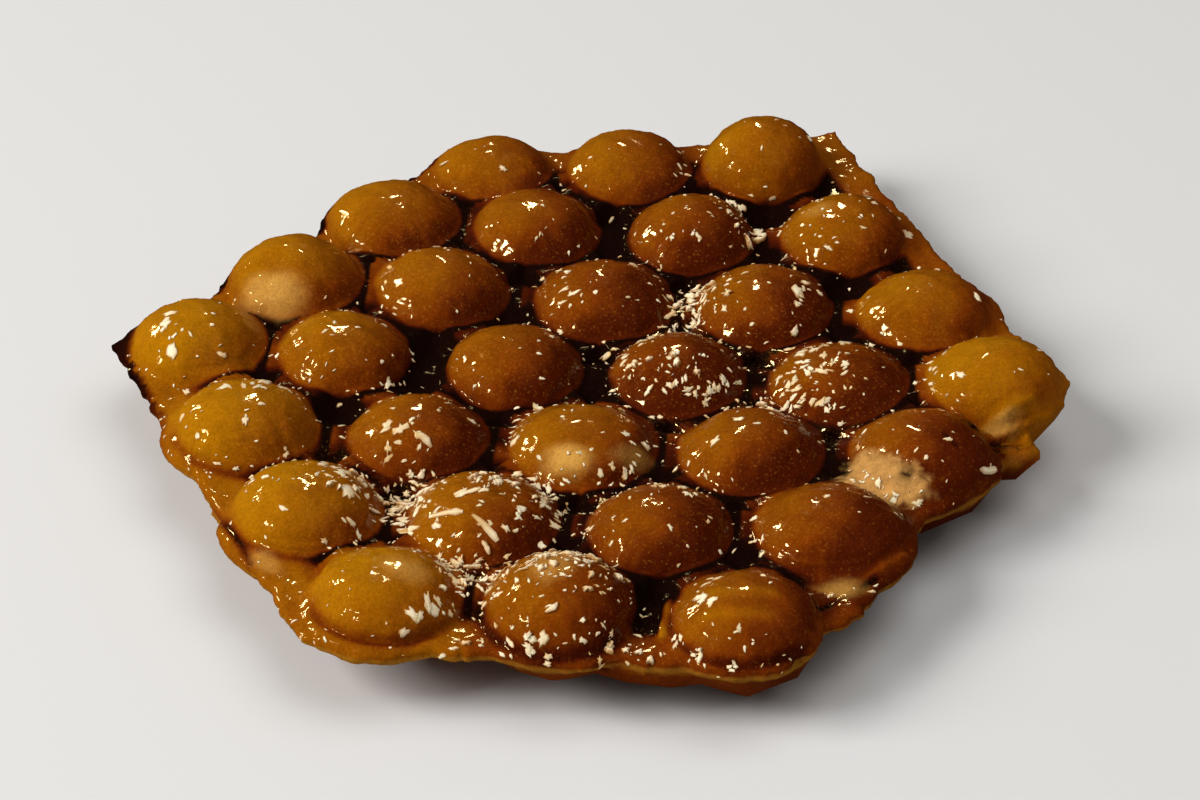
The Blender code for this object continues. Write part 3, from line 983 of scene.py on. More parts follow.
    def crease_bake(self, surface: Surface, form: WaffleSkin, zones: Zones) -> np.ndarray:
        """How much painted shade the creases, the pits between three bubbles and the front feet add, and how
        much the ridges add.
        """
        # Painted shade: darker creases round the bubbles, most on their shaded sides, and darkest pits
        # between three bubbles.
        turned = surface.share_out + 0.06 * ramp(-zones.away, 0.2, 0.8)
        crease = zones.inside * ramp(turned, 0.95, 1.06)
        corner = zones.inside * ramp(surface.share_out, 0.93, 1.08) * ramp(surface.pair_out, 2.28, 2.48)
        bake = self.add.crease * crease * (1 + 0.5 * np.clip(zones.away, -0.5, 1))
        bake += self.add.corner * corner + self.add.front_crease_shade * self.front_crease_shade(surface)
        # The ridges' bake: grooves get painted shade, raised ridges and bands are paler.
        return bake + sum(ridge.bake * ridge.share(surface.points) for ridge in form.ridges)

    def charred_share(self, flat: np.ndarray, zones: Zones, fine: np.ndarray) -> np.ndarray:
        """How charred each point is: on the thin rim at the back left, and at the left tip."""
        thin = 1 - ramp(np.abs(flat[:, 2]), 0.0014, 0.0028)
        edge = 1 - ramp(zones.inward + 0.0010 * fine, 0.0003, 0.0020)
        back_left = 1 - ramp(np.abs(zones.angle - 158), 28, 50)
        left_end = 1 - ramp(flat[:, 0] + 0.0006 * fine, -0.0985, -0.0955)
        left = 1 - ramp(np.abs(zones.angle - 183), 4, 8)
        return np.maximum(edge * back_left * thin, left_end * left)

    def gilded_share(self, flat: np.ndarray, zones: Zones, fine: np.ndarray) -> np.ndarray:
        """How much each point has of the thin golden line along the rim."""
        right = 1 - ramp(np.abs(zones.angle - 32), 20, 34)
        front = 1 - ramp(np.abs(zones.angle - 275), 60, 78)
        level = 1 - ramp(np.abs(flat[:, 2] + 0.0009), 0.0004, 0.0011)
        return (1 - ramp(zones.inward + 0.0006 * fine, 0.0004, 0.0016)) * np.maximum(right, front) * level

    def paint(self, skin: bpy.types.Object, form: WaffleSkin) -> None:
        """Store the colours, and how dry and dull each point is.

        Args:
            skin: The finished skin.
            form: What made it, for the flat places.
        """
        surface = Surface.of(form.flat_points(read_points(skin.data)), self.bubbles)
        flat = surface.points
        fine = noise_field(flat, self.add.fine_length, 3, 4.0)
        zones = self.zones(surface, form)
        charred = self.charred_share(flat, zones, fine)
        bake = self.dome_bake(surface, form, zones, fine) + self.crease_bake(surface, form, zones)
        colours = self.levels(np.clip(bake + self.add.charred * charred, 0, self.bake_steps[-1]))
        colours = mix(colours, np.array([self.edge_gold]), 0.5 * self.gilded_share(flat, zones, fine))
        colours = mix(colours, np.array([self.burnt]), 0.75 * charred * charred)
        # Painted highlight: soft reflections of the light painted in as pale patches.
        pale = self.painted_highlight_share(surface)
        colours = mix(colours, np.array([self.pale]), pale)
        torn = form.tear_relief(surface)[1]
        colours = mix(colours, np.array([self.torn]) * (1 + 0.12 * fine[:, None]), torn)
        # Painted shade: the small holes and the slit are painted towards burnt black.
        for mark in form.shaded_holes:
            colours = mix(colours, np.array([self.burnt]), mark.bake * mark.share(flat))
        write_colours(skin.data, Stored.TONE, np.clip(colours, 0.001, 1.0))
        write_values(skin.data, Stored.DRY, np.clip(torn + 0.4 * pale + 0.95 * zones.flats + charred, 0, 1))


@dataclass(frozen=True)
class CrustFinish:
    """Glossy baked crust: pores, golden specks painted as tiny glints, fine wrinkles, and a thin clear glaze.
    """

    mottle_scale: float = 260.0
    pore_scale: float = 1700.0
    wrinkle_scale: float = 900.0
    roughness: float = 0.42
    dry_roughness: float = 0.88
    glaze: float = 0.75
    glaze_roughness: float = 0.08
    gleam: Colour = (1.0, 0.60, 0.16)
    painted_glint: Colour = (0.62, 0.30, 0.03)
    painted_glint_share: float = 0.18
    base_gloss: float = 0.02

    def material(self) -> bpy.types.Material:
        """The crust's material, driven by the colours stored on the skin."""
        material = bpy.data.materials.new("glossy_crust")
        material.use_nodes = True
        tree = material.node_tree
        shader = tree.nodes["Principled BSDF"]
        place = tree.nodes.new("ShaderNodeTexCoord")
        dry = stored_node(tree, Stored.DRY).outputs["Fac"]
        mottle = noise_node(tree, place, self.mottle_scale, 4.0, 0.6)
        pores = noise_node(tree, place, self.pore_scale, 2.0, 0.6)
        wrinkle = noise_node(tree, place, self.wrinkle_scale, 3.0, 0.65)
        shade = map_node(tree, mottle.outputs["Fac"], (0.3, 0.7), (0.92, 1.08))
        pore_shade = map_node(tree, pores.outputs["Fac"], (0.36, 0.55), (0.86, 1.05))
        tinted = tree.nodes.new("ShaderNodeVectorMath")
        tinted.operation = "SCALE"
        tree.links.new(stored_node(tree, Stored.TONE).outputs["Color"], tinted.inputs[0])
        tree.links.new(product_node(tree, shade, pore_shade), tinted.inputs["Scale"])
        # Painted highlight: golden specks on the highest pore peaks stand for tiny glints, fewer where the
        # crust is dry.
        specks = map_node(tree, pores.outputs["Fac"], (0.60, 0.70), (0.0, self.painted_glint_share))
        glossy = map_node(tree, dry, (0.0, 1.0), (1.0, 0.0))
        crust = blend_node(tree, product_node(tree, specks, glossy), tinted.outputs["Vector"], self.painted_glint)
        tree.links.new(crust, shader.inputs["Base Color"])
        gloss = map_node(tree, dry, (0.0, 1.0), (self.roughness, self.dry_roughness))
        tree.links.new(gloss, shader.inputs["Roughness"])
        wrinkled = bump_node(tree, wrinkle, 0.42, 0.0004)
        pored = bump_node(tree, pores, 0.32, 0.0003, wrinkled)
        tree.links.new(pored.outputs["Normal"], shader.inputs["Normal"])
        dimpled = bump_node(tree, wrinkle, 0.07, 0.0004)
        tree.links.new(dimpled.outputs["Normal"], shader.inputs["Coat Normal"])
        tree.links.new(map_node(tree, dry, (0.0, 1.0), (self.glaze, 0.0)), shader.inputs["Coat Weight"])
        shader.inputs["Specular IOR Level"].default_value = self.base_gloss
        shader.inputs["Specular Tint"].default_value = (*self.gleam, 1)
        shader.inputs["Coat Roughness"].default_value = self.glaze_roughness
        return material


@dataclass(frozen=True)
class ShredFinish:
    """Pale cream shreds, a little translucent and toasted at random."""

    toast_scale: float = 180.0
    grain_scale: float = 1800.0
    cream: Colour = (0.94, 0.80, 0.56)
    toasted: Colour = (0.72, 0.48, 0.22)
    soaked: Colour = (0.38, 0.17, 0.03)
    roughness: float = 0.38

    def material(self, name: str) -> bpy.types.Material:
        """The material for shreds or crumbs."""
        material = bpy.data.materials.new(name)
        material.use_nodes = True
        tree = material.node_tree
        shader = tree.nodes["Principled BSDF"]
        place = tree.nodes.new("ShaderNodeTexCoord")
        toast = noise_node(tree, place, self.toast_scale, 3.0, 0.6)
        colours = tree.nodes.new("ShaderNodeValToRGB")
        colours.color_ramp.elements[0].position = 0.34
        colours.color_ramp.elements[0].color = (*self.toasted, 1)
        colours.color_ramp.elements[1].position = 0.58
        colours.color_ramp.elements[1].color = (*self.cream, 1)
        tree.links.new(toast.outputs["Fac"], colours.inputs["Fac"])
        browned = stored_node(tree, Stored.BROWNED).outputs["Fac"]
        shred = blend_node(tree, browned, colours.outputs["Color"], self.soaked)
        tree.links.new(shred, shader.inputs["Base Color"])
        grain = noise_node(tree, place, self.grain_scale, 2.0, 0.6)
        rough = bump_node(tree, grain, 0.4, 0.0002)
        tree.links.new(rough.outputs["Normal"], shader.inputs["Normal"])
        shader.inputs["Roughness"].default_value = self.roughness
        shader.inputs["Subsurface Weight"].default_value = 0.15
        shader.inputs["Subsurface Scale"].default_value = 0.001
        return material


def stored_node(tree: bpy.types.NodeTree, stored: Stored) -> bpy.types.Node:
    """The colours or numbers that the mesh stores."""
    node = tree.nodes.new("ShaderNodeAttribute")
    node.attribute_name = stored.value
    return node


def map_node(
    tree: bpy.types.NodeTree, value: bpy.types.NodeSocket, given: Range, wanted: Range
) -> bpy.types.NodeSocket:
    """Map a value from one range to another.

    Args:
        tree: The material's nodes.
        value: The value.
        given: The range that it has.
        wanted: The range that it gets.

    Returns:
        The mapped value.
    """
    node = tree.nodes.new("ShaderNodeMapRange")
    for name, end in zip(("From Min", "From Max", "To Min", "To Max"), (*given, *wanted)):
        node.inputs[name].default_value = end
    tree.links.new(value, node.inputs["Value"])
    return node.outputs["Result"]


def product_node(
    tree: bpy.types.NodeTree, first: bpy.types.NodeSocket, second: bpy.types.NodeSocket
) -> bpy.types.NodeSocket:
    """The product of two values."""
    node = tree.nodes.new("ShaderNodeMath")
    node.operation = "MULTIPLY"
    tree.links.new(first, node.inputs[0])
    tree.links.new(second, node.inputs[1])
    return node.outputs["Value"]


def blend_node(
    tree: bpy.types.NodeTree, share: bpy.types.NodeSocket, under: bpy.types.NodeSocket, colour: Colour
) -> bpy.types.NodeSocket:
    """A share of one fixed colour over another colour."""
    node = tree.nodes.new("ShaderNodeMix")
    node.data_type = "RGBA"
    node.inputs["B"].default_value = (*colour, 1)
    tree.links.new(share, node.inputs["Factor"])
    tree.links.new(under, node.inputs["A"])
    return node.outputs["Result"]


def noise_node(
    tree: bpy.types.NodeTree, place: bpy.types.Node, scale: float, detail: float, rough: float
) -> bpy.types.Node:
    """A noise texture in the object's own space.

    Args:
        tree: The material's nodes.
        place: The coordinates.
        scale: Waves in each metre.
        detail: How many finer waves.
        rough: How strong the finer waves are.

    Returns:
        The texture.
    """
    texture = tree.nodes.new("ShaderNodeTexNoise")
    texture.inputs["Scale"].default_value = scale
    texture.inputs["Detail"].default_value = detail
    texture.inputs["Roughness"].default_value = rough
    tree.links.new(place.outputs["Object"], texture.inputs["Vector"])
    return texture


def bump_node(
    tree: bpy.types.NodeTree,
    height: bpy.types.Node,
    strength: float,
    distance: float,
    under: bpy.types.Node | None = None,
) -> bpy.types.Node:
    """A bump from a texture, over another bump if there is one.

    Args:
        tree: The material's nodes.
        height: The texture.
        strength: The bump's strength.
        distance: The bump's height.
        under: The bump below it, or None.

    Returns:
        The bump.
    """
    bump = tree.nodes.new("ShaderNodeBump")
    bump.inputs["Strength"].default_value = strength
    bump.inputs["Distance"].default_value = distance
    tree.links.new(height.outputs["Fac"], bump.inputs["Height"])
    if under is not None:
        tree.links.new(under.outputs["Normal"], bump.inputs["Normal"])
    return bump


@dataclass(frozen=True)
class Scatter:
    """A loose group of shreds: flat middle, spread, number and usual length."""

    x: float
    y: float
    spread_x: float
    spread_y: float
    count: int
    length: float


@dataclass(frozen=True)
class Shred:
    """One large shred: flat place, direction in degrees, length and width."""

    x: float
    y: float
    turn: float
    length: float
    width: float


@dataclass(frozen=True)
class CrumbArc:
    """Crumbs in an arc on one bubble: from and to in degrees, how far out, number and usual length."""

    bubble: str
    first: float
    last: float
    out: float
    count: int
    length: float


@dataclass(frozen=True)
class Laid:
    """One shred ready to lay: place over the origin, direction, length, width, thickness and tilt."""

    x: float
    y: float
    turn: float
    length: float
    width: float
    thickness: float
    tilt: float


@dataclass
class ShredTopping:
    """The pale shreds: the ones in the solid, at the same places, and the finer ones round them."""

    middle: tuple[float, float]
    bubbles: list[Bubble]
    seed: int = 5
    fine_seed: int = 11
    bit_seed: int = 17
    arc_seed: int = 23
    bits: tuple[tuple[int, ...], ...] = (
        (5, 9, 17),
        (3, 6, 26, 18),
        (3, 15, 19, 29, 11),
        (14, 15, 20, 39, 30, 17),
        (17, 21, 29, 21, 17),
        (25, 36, 28, 6),
        (20, 33, 12),
    )
    width: float = 0.0016
    thickness: float = 0.0009
    sink: float = 0.25
    slender_from: float = 2.4
    ragged_from: float = 0.0018
    tilt: float = 28
    scatters: tuple[Scatter, ...] = rows_of(
        Scatter,
        (0, 1, 2, 3, 5),
        (
            (-32.2, -48, 4, 7, 10, 3), (-18.1, -69.2, 5, 7, 8, 2.6), (1.5, -78.5, 9.5, 8, 13, 2.6),
            (18.6, 26.2, 6.5, 7, 10, 2.8), (12.2, -4.6, 9, 6, 7, 2.4), (39.1, -9.5, 8, 5.5, 7, 2.6),
            (29.3, 51, 3.5, 6, 4, 2.4), (-41.5, -52, 7.5, 6.5, 9, 2.8), (10, -91, 25, 2.5, 8, 2.2),
            (-15.1, -48.2, 3.5, 3.5, 3, 3),
        ),
    )
    singles: tuple[Shred, ...] = rows_of(
        Shred,
        (0, 1, 3, 4),
        (
            (-23.5, -58.7, 53, 7, 1.7), (-15.4, -62, 101, 7.4, 1.7), (-19.7, -53.5, 48, 5.2, 1.6),
            (-30.4, -58.7, 66, 5.9, 2.6), (-20.3, -68.3, 61, 4, 2.2), (-14.5, -47.4, 136, 4.4, 2.3),
            (-5.4, -51.1, 147, 4.1, 1.6), (-43.3, -54.7, 9, 4.9, 3.4), (-41.6, -61.2, 82, 2.9, 1.8),
            (-86.6, -9.5, 104, 4.7, 3), (-76.5, -8.3, 142, 3, 1.9), (-67, -34.7, 78, 3.1, 1.7),
            (-30.9, -34, 118, 4.4, 1.8), (-38.1, -36, 96, 3.8, 1.6), (-19.6, -75.7, 5, 4.7, 2.2),
            (-27.2, -91.4, 28, 2.7, 2), (-26.7, 70.6, 107, 3.3, 1.9), (-5.9, 21.8, 60, 3.3, 1.6),
            (5.6, 35.7, 144, 4.2, 1.6), (25.1, 55.3, 147, 3.7, 1.6), (41.3, 15.5, 54, 3.2, 1.9),
            (47.2, -4.3, 29, 4.4, 2.1), (47.8, 1.4, 39, 3.7, 1.8), (60.1, -36.7, 103, 3.3, 1.9),
            (45.8, -70.6, 10, 3.4, 1.7), (81.8, -32, 325, 6, 1.7),
        ),
    )
    fine: tuple[Scatter, ...] = rows_of(
        Scatter,
        (0, 1, 2, 3, 5),
        (
            (-32.2, -48, 6, 11, 46, 1.5), (-18.1, -69.2, 7.5, 10.5, 34, 1.4),
            (1.5, -78.5, 14, 12, 56, 1.4), (18.6, 26.2, 11, 11, 55, 1.4), (12.2, -4.6, 16, 11, 32, 1.3),
            (39.1, -9.5, 15, 10, 40, 1.3), (29.3, 51, 7, 12, 25, 1.2), (-41.5, -52, 13, 13, 45, 1.4),
            (10, -91, 40, 4, 40, 1.2), (-15.1, -48.2, 7, 7, 18, 1.4), (4, -45, 20, 12, 45, 1.2),
            (60, -35, 14, 12, 25, 1.2), (48, 52, 18, 16, 35, 1.1), (-10, 35, 30, 20, 30, 1.1),
            (-55, -15, 30, 25, 40, 1.2), (-32.2, -48, 4.5, 9, 34, 2.5), (-30, -56, 4.5, 5, 11, 2.6),
            (-18.5, -70.5, 6, 6, 22, 2.3), (-7.5, -73.5, 6, 6, 26, 2.2), (1, -72, 12, 5, 30, 2),
            (-15.1, -48.2, 4.5, 4, 16, 2.4), (-5, -50, 3.5, 7, 18, 2), (18.6, 26.2, 7, 8, 26, 2.2),
            (48.5, -4, 7, 6, 22, 2.2), (22, -8, 7, 6, 20, 1.9),
        ),
    )
    arcs: tuple[CrumbArc, ...] = rows_of(
        CrumbArc,
        (5,),
        (
            ("F1", 15, 115, 0.97, 30, 1.6), ("F1", 20, 80, 0.62, 9, 2.6), ("F1", 120, 170, 0.8, 5, 2.2),
            ("F2", -15, 75, 0.95, 22, 1.8), ("F2", 300, 350, 0.55, 7, 2.6),
            ("G2", 70, 195, 0.9, 46, 1.8), ("G2", 20, 150, 0.45, 9, 2.8),
            ("G2", 225, 320, 0.95, 14, 2.2), ("G3", 195, 280, 1.02, 10, 2), ("G3", 120, 200, 0.6, 6, 2),
            ("G1", -30, 60, 0.9, 18, 1.8), ("G1", 300, 340, 0.8, 5, 2.6),
            ("F3", 40, 160, 0.55, 14, 2.2), ("F3", 130, 200, 0.92, 12, 1.8),
            ("E1", 40, 110, 0.7, 9, 2.2), ("E1", 50, 150, 0.38, 9, 2.8), ("D1", 150, 260, 0.45, 6, 2.6),
            ("E2", 190, 330, 0.4, 6, 2.8), ("G3", 150, 260, 0.55, 6, 2.8),
            ("E1", 250, 330, 0.95, 12, 1.4), ("E2", 60, 130, 0.7, 7, 2),
            ("E3", 110, 200, 0.92, 16, 1.8), ("E3", 290, 360, 0.85, 12, 2.2),
            ("C4", 150, 215, 0.92, 22, 1.8), ("C4", -40, 20, 0.55, 9, 2.2),
            ("C4", 60, 120, 0.95, 10, 1.6), ("D4", 110, 220, 0.72, 16, 2), ("D4", -60, 10, 0.82, 13, 2),
            ("D5", 180, 270, 0.75, 22, 2), ("D5", 80, 150, 0.6, 10, 2.6),
            ("D6", 110, 220, 0.92, 14, 1.6), ("B3", -10, 60, 0.97, 16, 1.8),
            ("B3", 220, 300, 0.55, 8, 1.6), ("B4", 100, 190, 0.95, 12, 1.6),
            ("C2", 60, 140, 0.85, 8, 1.4), ("C3", 150, 230, 0.55, 8, 2), ("D2", 290, 360, 0.98, 9, 1.4),
            ("D3", 60, 120, 0.95, 10, 1.4), ("A2", -40, 30, 0.85, 8, 1.6),
            ("E5", 200, 290, 0.95, 8, 1.8), ("F4", 150, 230, 0.97, 7, 1.4),
            ("G1", 280, 325, 1.28, 9, 2.2), ("G2", 228, 312, 1.2, 16, 2), ("G1", 185, 280, 1.32, 14, 1),
            ("F1", 185, 260, 1.3, 14, 0.9), ("E1", 165, 255, 1.15, 16, 0.9),
            ("D1", 190, 300, 1.08, 10, 0.8), ("G3", 240, 350, 1.16, 12, 1.1),
            ("F4", 250, 340, 1.25, 10, 1.2),
        ),
    )

    def on_arcs(self) -> list[Laid]:
        """The crumbs that lie in arcs on the bubbles."""
        draw = random.Random(self.arc_seed)
        by_name = {bubble.name: bubble for bubble in self.bubbles}
        laid = []
        for arc in self.arcs:
            bubble = by_name[arc.bubble]
            for _ in range(arc.count):
                heading = draw.uniform(arc.first, arc.last)
                reach = (arc.out + draw.gauss(0, 0.06)) * bubble.radius
                x = bubble.x + reach * math.cos(math.radians(heading))
                y = bubble.y + reach * math.sin(math.radians(heading))
                length = arc.length * math.exp(draw.gauss(0.0, 0.35))
                width = length * draw.uniform(0.35, 0.7)
                across = arc.out < 0.8 or draw.random() < 0.3
                turn = draw.gauss(102, 26) if across else heading + 90 + draw.uniform(-30, 30)
                thickness = draw.uniform(0.00018, 0.00036)
                laid.append(Laid(x, y, turn, length, width, thickness, 0.0))
        return laid

    def same_as_solid(self) -> list[Laid]:
        """The shreds that the solid has, drawn in its order."""
        draw = random.Random(self.seed)
        laid = []
        for scatter in self.scatters:
            for _ in range(scatter.count):
                x = draw.gauss(scatter.x, scatter.spread_x / 2)
                y = draw.gauss(scatter.y, scatter.spread_y / 2)
                turn = draw.uniform(0, 360)
                length = scatter.length * draw.uniform(0.65, 1.25)
                width = self.width * draw.uniform(0.7, 1.2)
                tilt = draw.uniform(-1, 1) * self.tilt
                laid.append(Laid(x, y, turn, length, width, self.thickness, tilt))
        for single in self.singles:
            spot = (single.x, single.y, single.turn, single.length, single.width)
            laid.append(Laid(*spot, self.thickness * 0.45, 0.0))
        return laid

    def finer(self) -> list[Laid]:
        """The finer shreds and slivers round them."""
        draw = random.Random(self.fine_seed)
        laid = []
        for scatter in self.fine:
            for _ in range(scatter.count):
                x = draw.gauss(scatter.x, scatter.spread_x / 2)
                y = draw.gauss(scatter.y, scatter.spread_y / 2)
                length = scatter.length * draw.uniform(0.45, 1.5)
                width = length * draw.uniform(0.25, 0.7)
                thickness = draw.uniform(0.00018, 0.00034)
                turn = draw.uniform(0, 360)
                laid.append(Laid(x, y, turn, length, width, thickness, draw.uniform(-30, 30)))
        return laid

    def round_bubbles(self) -> list[Laid]:
        """The small chips on each bubble, about half of them in the crease round its foot."""
        draw = random.Random(self.bit_seed)
        laid = []
        counts = [count for row in self.bits for count in row]
        for bubble, count in zip(self.bubbles, counts):
            for _ in range(count):
                heading = draw.uniform(0, 360)
                in_crease = draw.random() < 0.5
                reach = draw.gauss(0.98, 0.09) if in_crease else 0.85 * math.sqrt(draw.random())
                x = bubble.x + reach * bubble.radius * math.cos(math.radians(heading))
                y = bubble.y + reach * bubble.radius * math.sin(math.radians(heading))
                turn = heading + 90 + draw.uniform(-35, 35) if in_crease else draw.gauss(102, 34)
                length = 0.0013 * math.exp(draw.gauss(0.0, 0.45))
                width = length * draw.uniform(0.35, 0.75)
                thickness = draw.uniform(0.00016, 0.00032)
                laid.append(Laid(x, y, turn, length, width, thickness, draw.uniform(-25, 25)))
        return laid

    def sliver(self, draw: random.Random, rings: int, sides: int) -> Shape:
        """One uneven sliver, one unit long, wide and thick.

        Args:
            draw: Where its unevenness comes from.
            rings: Cross sections along it.
            sides: Points round each.

        Returns:
            Its points and faces.
        """
        points = []
        bend = draw.uniform(-0.25, 0.25)
        for ring in range(rings):
            along = ring / (rings - 1)
            taper = (1 - 0.45 * abs(2 * along - 1 + draw.uniform(-0.1, 0.1)) ** 4) * draw.uniform(0.75, 1.15)
            for side in range(sides):
                angle = 2 * math.pi * (side + 0.5) / sides
                bow = bend * (4 * (along - 0.5) ** 2 - 0.5)
                y = 0.5 * taper * math.cos(angle) * draw.uniform(0.8, 1.15) + bow
                z = 0.5 * max(0.35, taper) * math.sin(angle) * draw.uniform(0.8, 1.2)
                points.append(Vector((along - 0.5, y, z)))
        faces = []
        for ring in range(rings - 1):
            for side in range(sides):
                after = (side + 1) % sides
                low, high = ring * sides, (ring + 1) * sides
                faces.append((low + side, low + after, high + after, high + side))
        faces.append(tuple(range(sides - 1, -1, -1)))
        faces.append(tuple((rings - 1) * sides + side for side in range(sides)))
        return points, faces

    def chip(self, draw: random.Random, corners: int) -> Shape:
        """One uneven flat chip, one unit long, wide and thick, with a ragged outline.

        Args:
            draw: Where its unevenness comes from.
            corners: Points round it.

        Returns:
            Its points and faces.
        """
        reaches = [0.5 * draw.uniform(0.42, 1.15) for _ in range(corners)]
        points = []
        for level, share in ((-0.5, 1.0), (0.15, 0.95), (0.45, 0.60)):
            for corner, reach in enumerate(reaches):
                angle = 2 * math.pi * (corner + draw.uniform(-0.2, 0.2)) / corners
                out = reach * share
                z = level + draw.uniform(-0.12, 0.12)
                points.append(Vector((out * math.cos(angle), out * math.sin(angle), z)))
        peak = [draw.uniform(-0.1, 0.1) for _ in range(3)]
        points.append(Vector((peak[0], peak[1], 0.5 + peak[2])))
        faces = [tuple(range(corners - 1, -1, -1))]
        for corner in range(corners):
            after = (corner + 1) % corners
            for level in (0, corners):
                over = level + corners
                faces.append((level + corner, level + after, over + after, over + corner))
            faces.append((2 * corners + corner, 2 * corners + after, 3 * corners))
        return points, faces

    def follow(self, skin: BVHTree, spot: Vector, normal: Vector, point: Vector, thickness: float) -> Vector:
        """Lay one point of a chip over the skin beneath it.

        Args:
            skin: The skin.
            spot: Where the chip's middle touches the skin.
            normal: The skin's normal there.
            point: The point on the flat chip, beside the spot and off it along the normal.
            thickness: The chip's thickness.

        Returns:
            The point at its own height over the skin.
        """
        height = (point - spot).dot(normal)
        beside = point - normal * height
        found, _, _, _ = skin.ray_cast(beside + normal * 0.003, -normal, 0.007)
        sunk = thickness * (0.5 - self.sink)
        return (found if found is not None else beside - normal * 0.0004) + normal * (height + sunk)

    def joined(self, name: str, laid: list[Laid], skin: BVHTree, long: bool) -> bpy.types.Object:
        """Lay shreds or chips on the skin as one mesh.

        Args:
            name: The piece's name.
            laid: Where they lie.
            skin: The skin that they lie on.
            long: Whether long ones are drawn as slivers and not as chips.

        Returns:
            The piece.
        """
        draw = random.Random(self.fine_seed)
        points: list[Vector] = []
        heights: list[float] = []
        faces: list[tuple[int, ...]] = []
        for one in laid:
            above = Vector((one.x - self.middle[0], one.y - self.middle[1], 0.08))
            spot, normal, _, _ = skin.ray_cast(above, Vector((0, 0, -1)))
            slender = long and one.length > self.slender_from * one.width
            corners = 13 if one.length > self.ragged_from else 8
            shape, sides_of = self.sliver(draw, 6, 6) if slender else self.chip(draw, corners)
            if spot is None:
                continue
            lean = normal.to_track_quat("Z", "Y").to_matrix().to_4x4()
            spin = Matrix.Rotation(math.radians(one.turn), 4, "Z")
            tilt = Matrix.Rotation(math.radians(one.tilt), 4, "X")
            size = Matrix.Diagonal((one.length, one.width, one.thickness, 1))
            place = Matrix.Translation(spot) @ lean @ (spin @ tilt) @ size
            start = len(points)
            points.extend(self.follow(skin, spot, normal, place @ point, one.thickness) for point in shape)
            heights.extend(point.z for point in shape)
            faces.extend(tuple(start + number for number in face) for face in sides_of)
        mesh = bpy.data.meshes.new(name)
        mesh.from_pydata(points, [], faces)
        write_values(mesh, Stored.BROWNED, 1 - ramp(np.array(heights), 0.05, 0.45))
        mesh.shade_smooth()
        mesh.set_sharp_from_angle(angle=math.radians(50))
        piece = bpy.data.objects.new(name, mesh)
        bpy.context.scene.collection.objects.link(piece)
        return piece

    def build(self, skin: bpy.types.Object) -> tuple[bpy.types.Object, bpy.types.Object]:
        """The large shreds and the fine ones, as two pieces."""
        tree = BVHTree.FromObject(skin, bpy.context.evaluated_depsgraph_get())
        large = self.joined("pale_shreds", self.same_as_solid(), tree, True)
        crumbs = self.finer() + self.round_bubbles() + self.on_arcs()
        small = self.joined("fine_shreds", crumbs, tree, False)
        return large, small


@dataclass(frozen=True)
class Lamp:
    """A square light aimed at the waffle; a glint only shows in the gloss, the others only light."""

    name: str
    spot: Place
    size: float
    power: float
    colour: Colour
    glint: bool


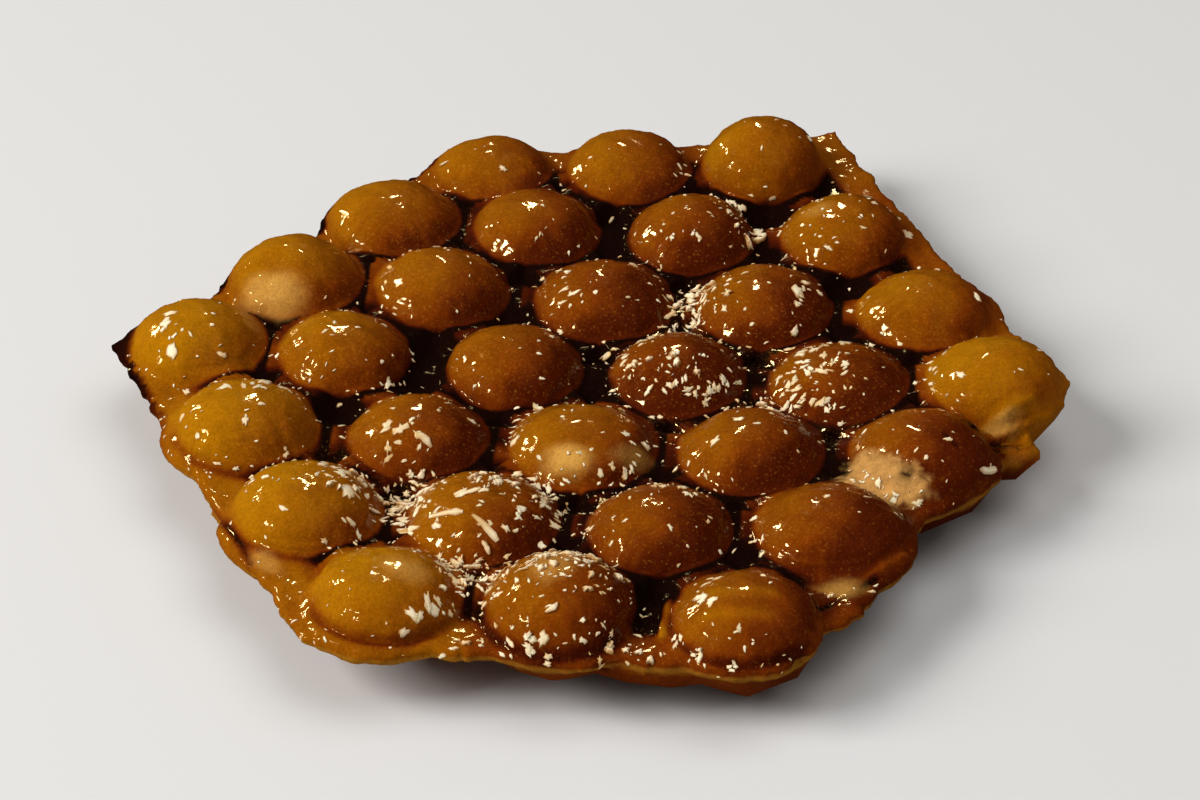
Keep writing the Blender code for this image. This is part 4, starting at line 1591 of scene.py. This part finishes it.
@dataclass
class Studio:
    """Pale floor, soft lights and the camera at the photograph's angle."""

    lens: float = 99.0
    sensor: float = 36.0
    eye_flat: Place = (0.0506, -0.5632, 0.3990)
    pitch: float = 35.41
    yaw: float = -4.99
    floor_size: float = 3.0
    floor_tone: Colour = (0.66, 0.66, 0.66)
    floor_roughness: float = 0.85
    room_tone: Colour = (0.90, 0.86, 0.80)
    room_strength: float = 0.16
    lamps: tuple[Lamp, ...] = (
        Lamp("key", (-1.55, -0.60, 1.30), 1.10, 50.0, (1.0, 0.985, 0.965), False),
        Lamp("left_back", (-0.72, 0.49, 0.50), 0.08, 3.0, (1.0, 0.76, 0.34), True),
        Lamp("back", (-0.12, 0.85, 0.62), 0.06, 1.8, (1.0, 0.76, 0.34), True),
        Lamp("left_front", (-0.68, -0.23, 0.64), 0.09, 3.6, (1.0, 0.76, 0.34), True),
        Lamp("overhead", (0.5, 0.1, 1.5), 1.40, 12.0, (1.0, 0.99, 0.98), False),
    )

    def floor(self) -> bpy.types.Object:
        """The floor under the waffle."""
        bpy.ops.mesh.primitive_plane_add(size=self.floor_size, location=(0, 0, 0))
        floor = bpy.context.object
        floor.name = "floor"
        material = bpy.data.materials.new("pale_floor")
        material.use_nodes = True
        shader = material.node_tree.nodes["Principled BSDF"]
        shader.inputs["Base Color"].default_value = (*self.floor_tone, 1)
        shader.inputs["Roughness"].default_value = self.floor_roughness
        floor.data.materials.append(material)
        floor.visible_glossy = False
        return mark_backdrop(floor)

    def light(self, lamp: Lamp) -> None:
        """Hang one light."""
        data = bpy.data.lights.new(lamp.name, "AREA")
        data.size = lamp.size
        data.energy = lamp.power
        data.color = lamp.colour
        hung = bpy.data.objects.new(lamp.name, data)
        hung.location = lamp.spot
        hung.rotation_euler = (-Vector(lamp.spot)).to_track_quat("-Z", "Y").to_euler()
        hung.visible_glossy = lamp.glint
        hung.visible_diffuse = not lamp.glint
        bpy.context.scene.collection.objects.link(hung)

    def camera(self, middle: tuple[float, float], height: float) -> None:
        """The camera.

        Args:
            middle: The flat place over the origin.
            height: The flat sheet's height.
        """
        data = bpy.data.cameras.new("camera")
        data.lens = self.lens
        data.sensor_width = self.sensor
        data.clip_start = 0.01
        camera = bpy.data.objects.new("camera", data)
        eye = Vector(self.eye_flat)
        camera.location = (eye.x - middle[0], eye.y - middle[1], eye.z + height)
        camera.rotation_euler = Euler((math.radians(90 - self.pitch), 0, math.radians(-self.yaw)))
        bpy.context.scene.collection.objects.link(camera)
        bpy.context.scene.camera = camera

    def build(self, middle: tuple[float, float], height: float) -> None:
        """Floor, lights, room tone and camera."""
        self.floor()
        for lamp in self.lamps:
            self.light(lamp)
        world = bpy.data.worlds.new("studio")
        world.use_nodes = True
        room = world.node_tree.nodes["Background"]
        room.inputs["Color"].default_value = (*self.room_tone, 1)
        room.inputs["Strength"].default_value = self.room_strength
        bpy.context.scene.world = world
        world.cycles_visibility.glossy = False
        bpy.context.scene.view_settings.view_transform = "Standard"
        self.camera(middle, height)


def main() -> None:
    """Build the waffle and its studio in order."""
    logging.basicConfig(level=logging.INFO, format="%(name)s: %(message)s")
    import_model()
    grid = BubbleGrid()
    bubbles = grid.bubbles()
    edge = SheetOutline(bubbles)
    form = WaffleSkin(grid, bubbles, edge, Dish())
    skin = form.build()
    CrustPaint(bubbles).paint(skin, form)
    skin.data.materials.clear()
    skin.data.materials.append(CrustFinish().material())
    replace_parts(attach(skin, BODY), NODE)
    LOG.info("skin: %d faces", len(skin.data.polygons))
    topping = ShredTopping(edge.middle(), bubbles)
    large, small = topping.build(skin)
    for piece in (large, small):
        piece.data.materials.append(ShredFinish().material(piece.name))
        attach(piece, BODY)
        LOG.info("%s: %d faces", piece.name, len(piece.data.polygons))
    Studio().build(edge.middle(), form.dish.middle_height)


if __name__ == "__main__":
    main()
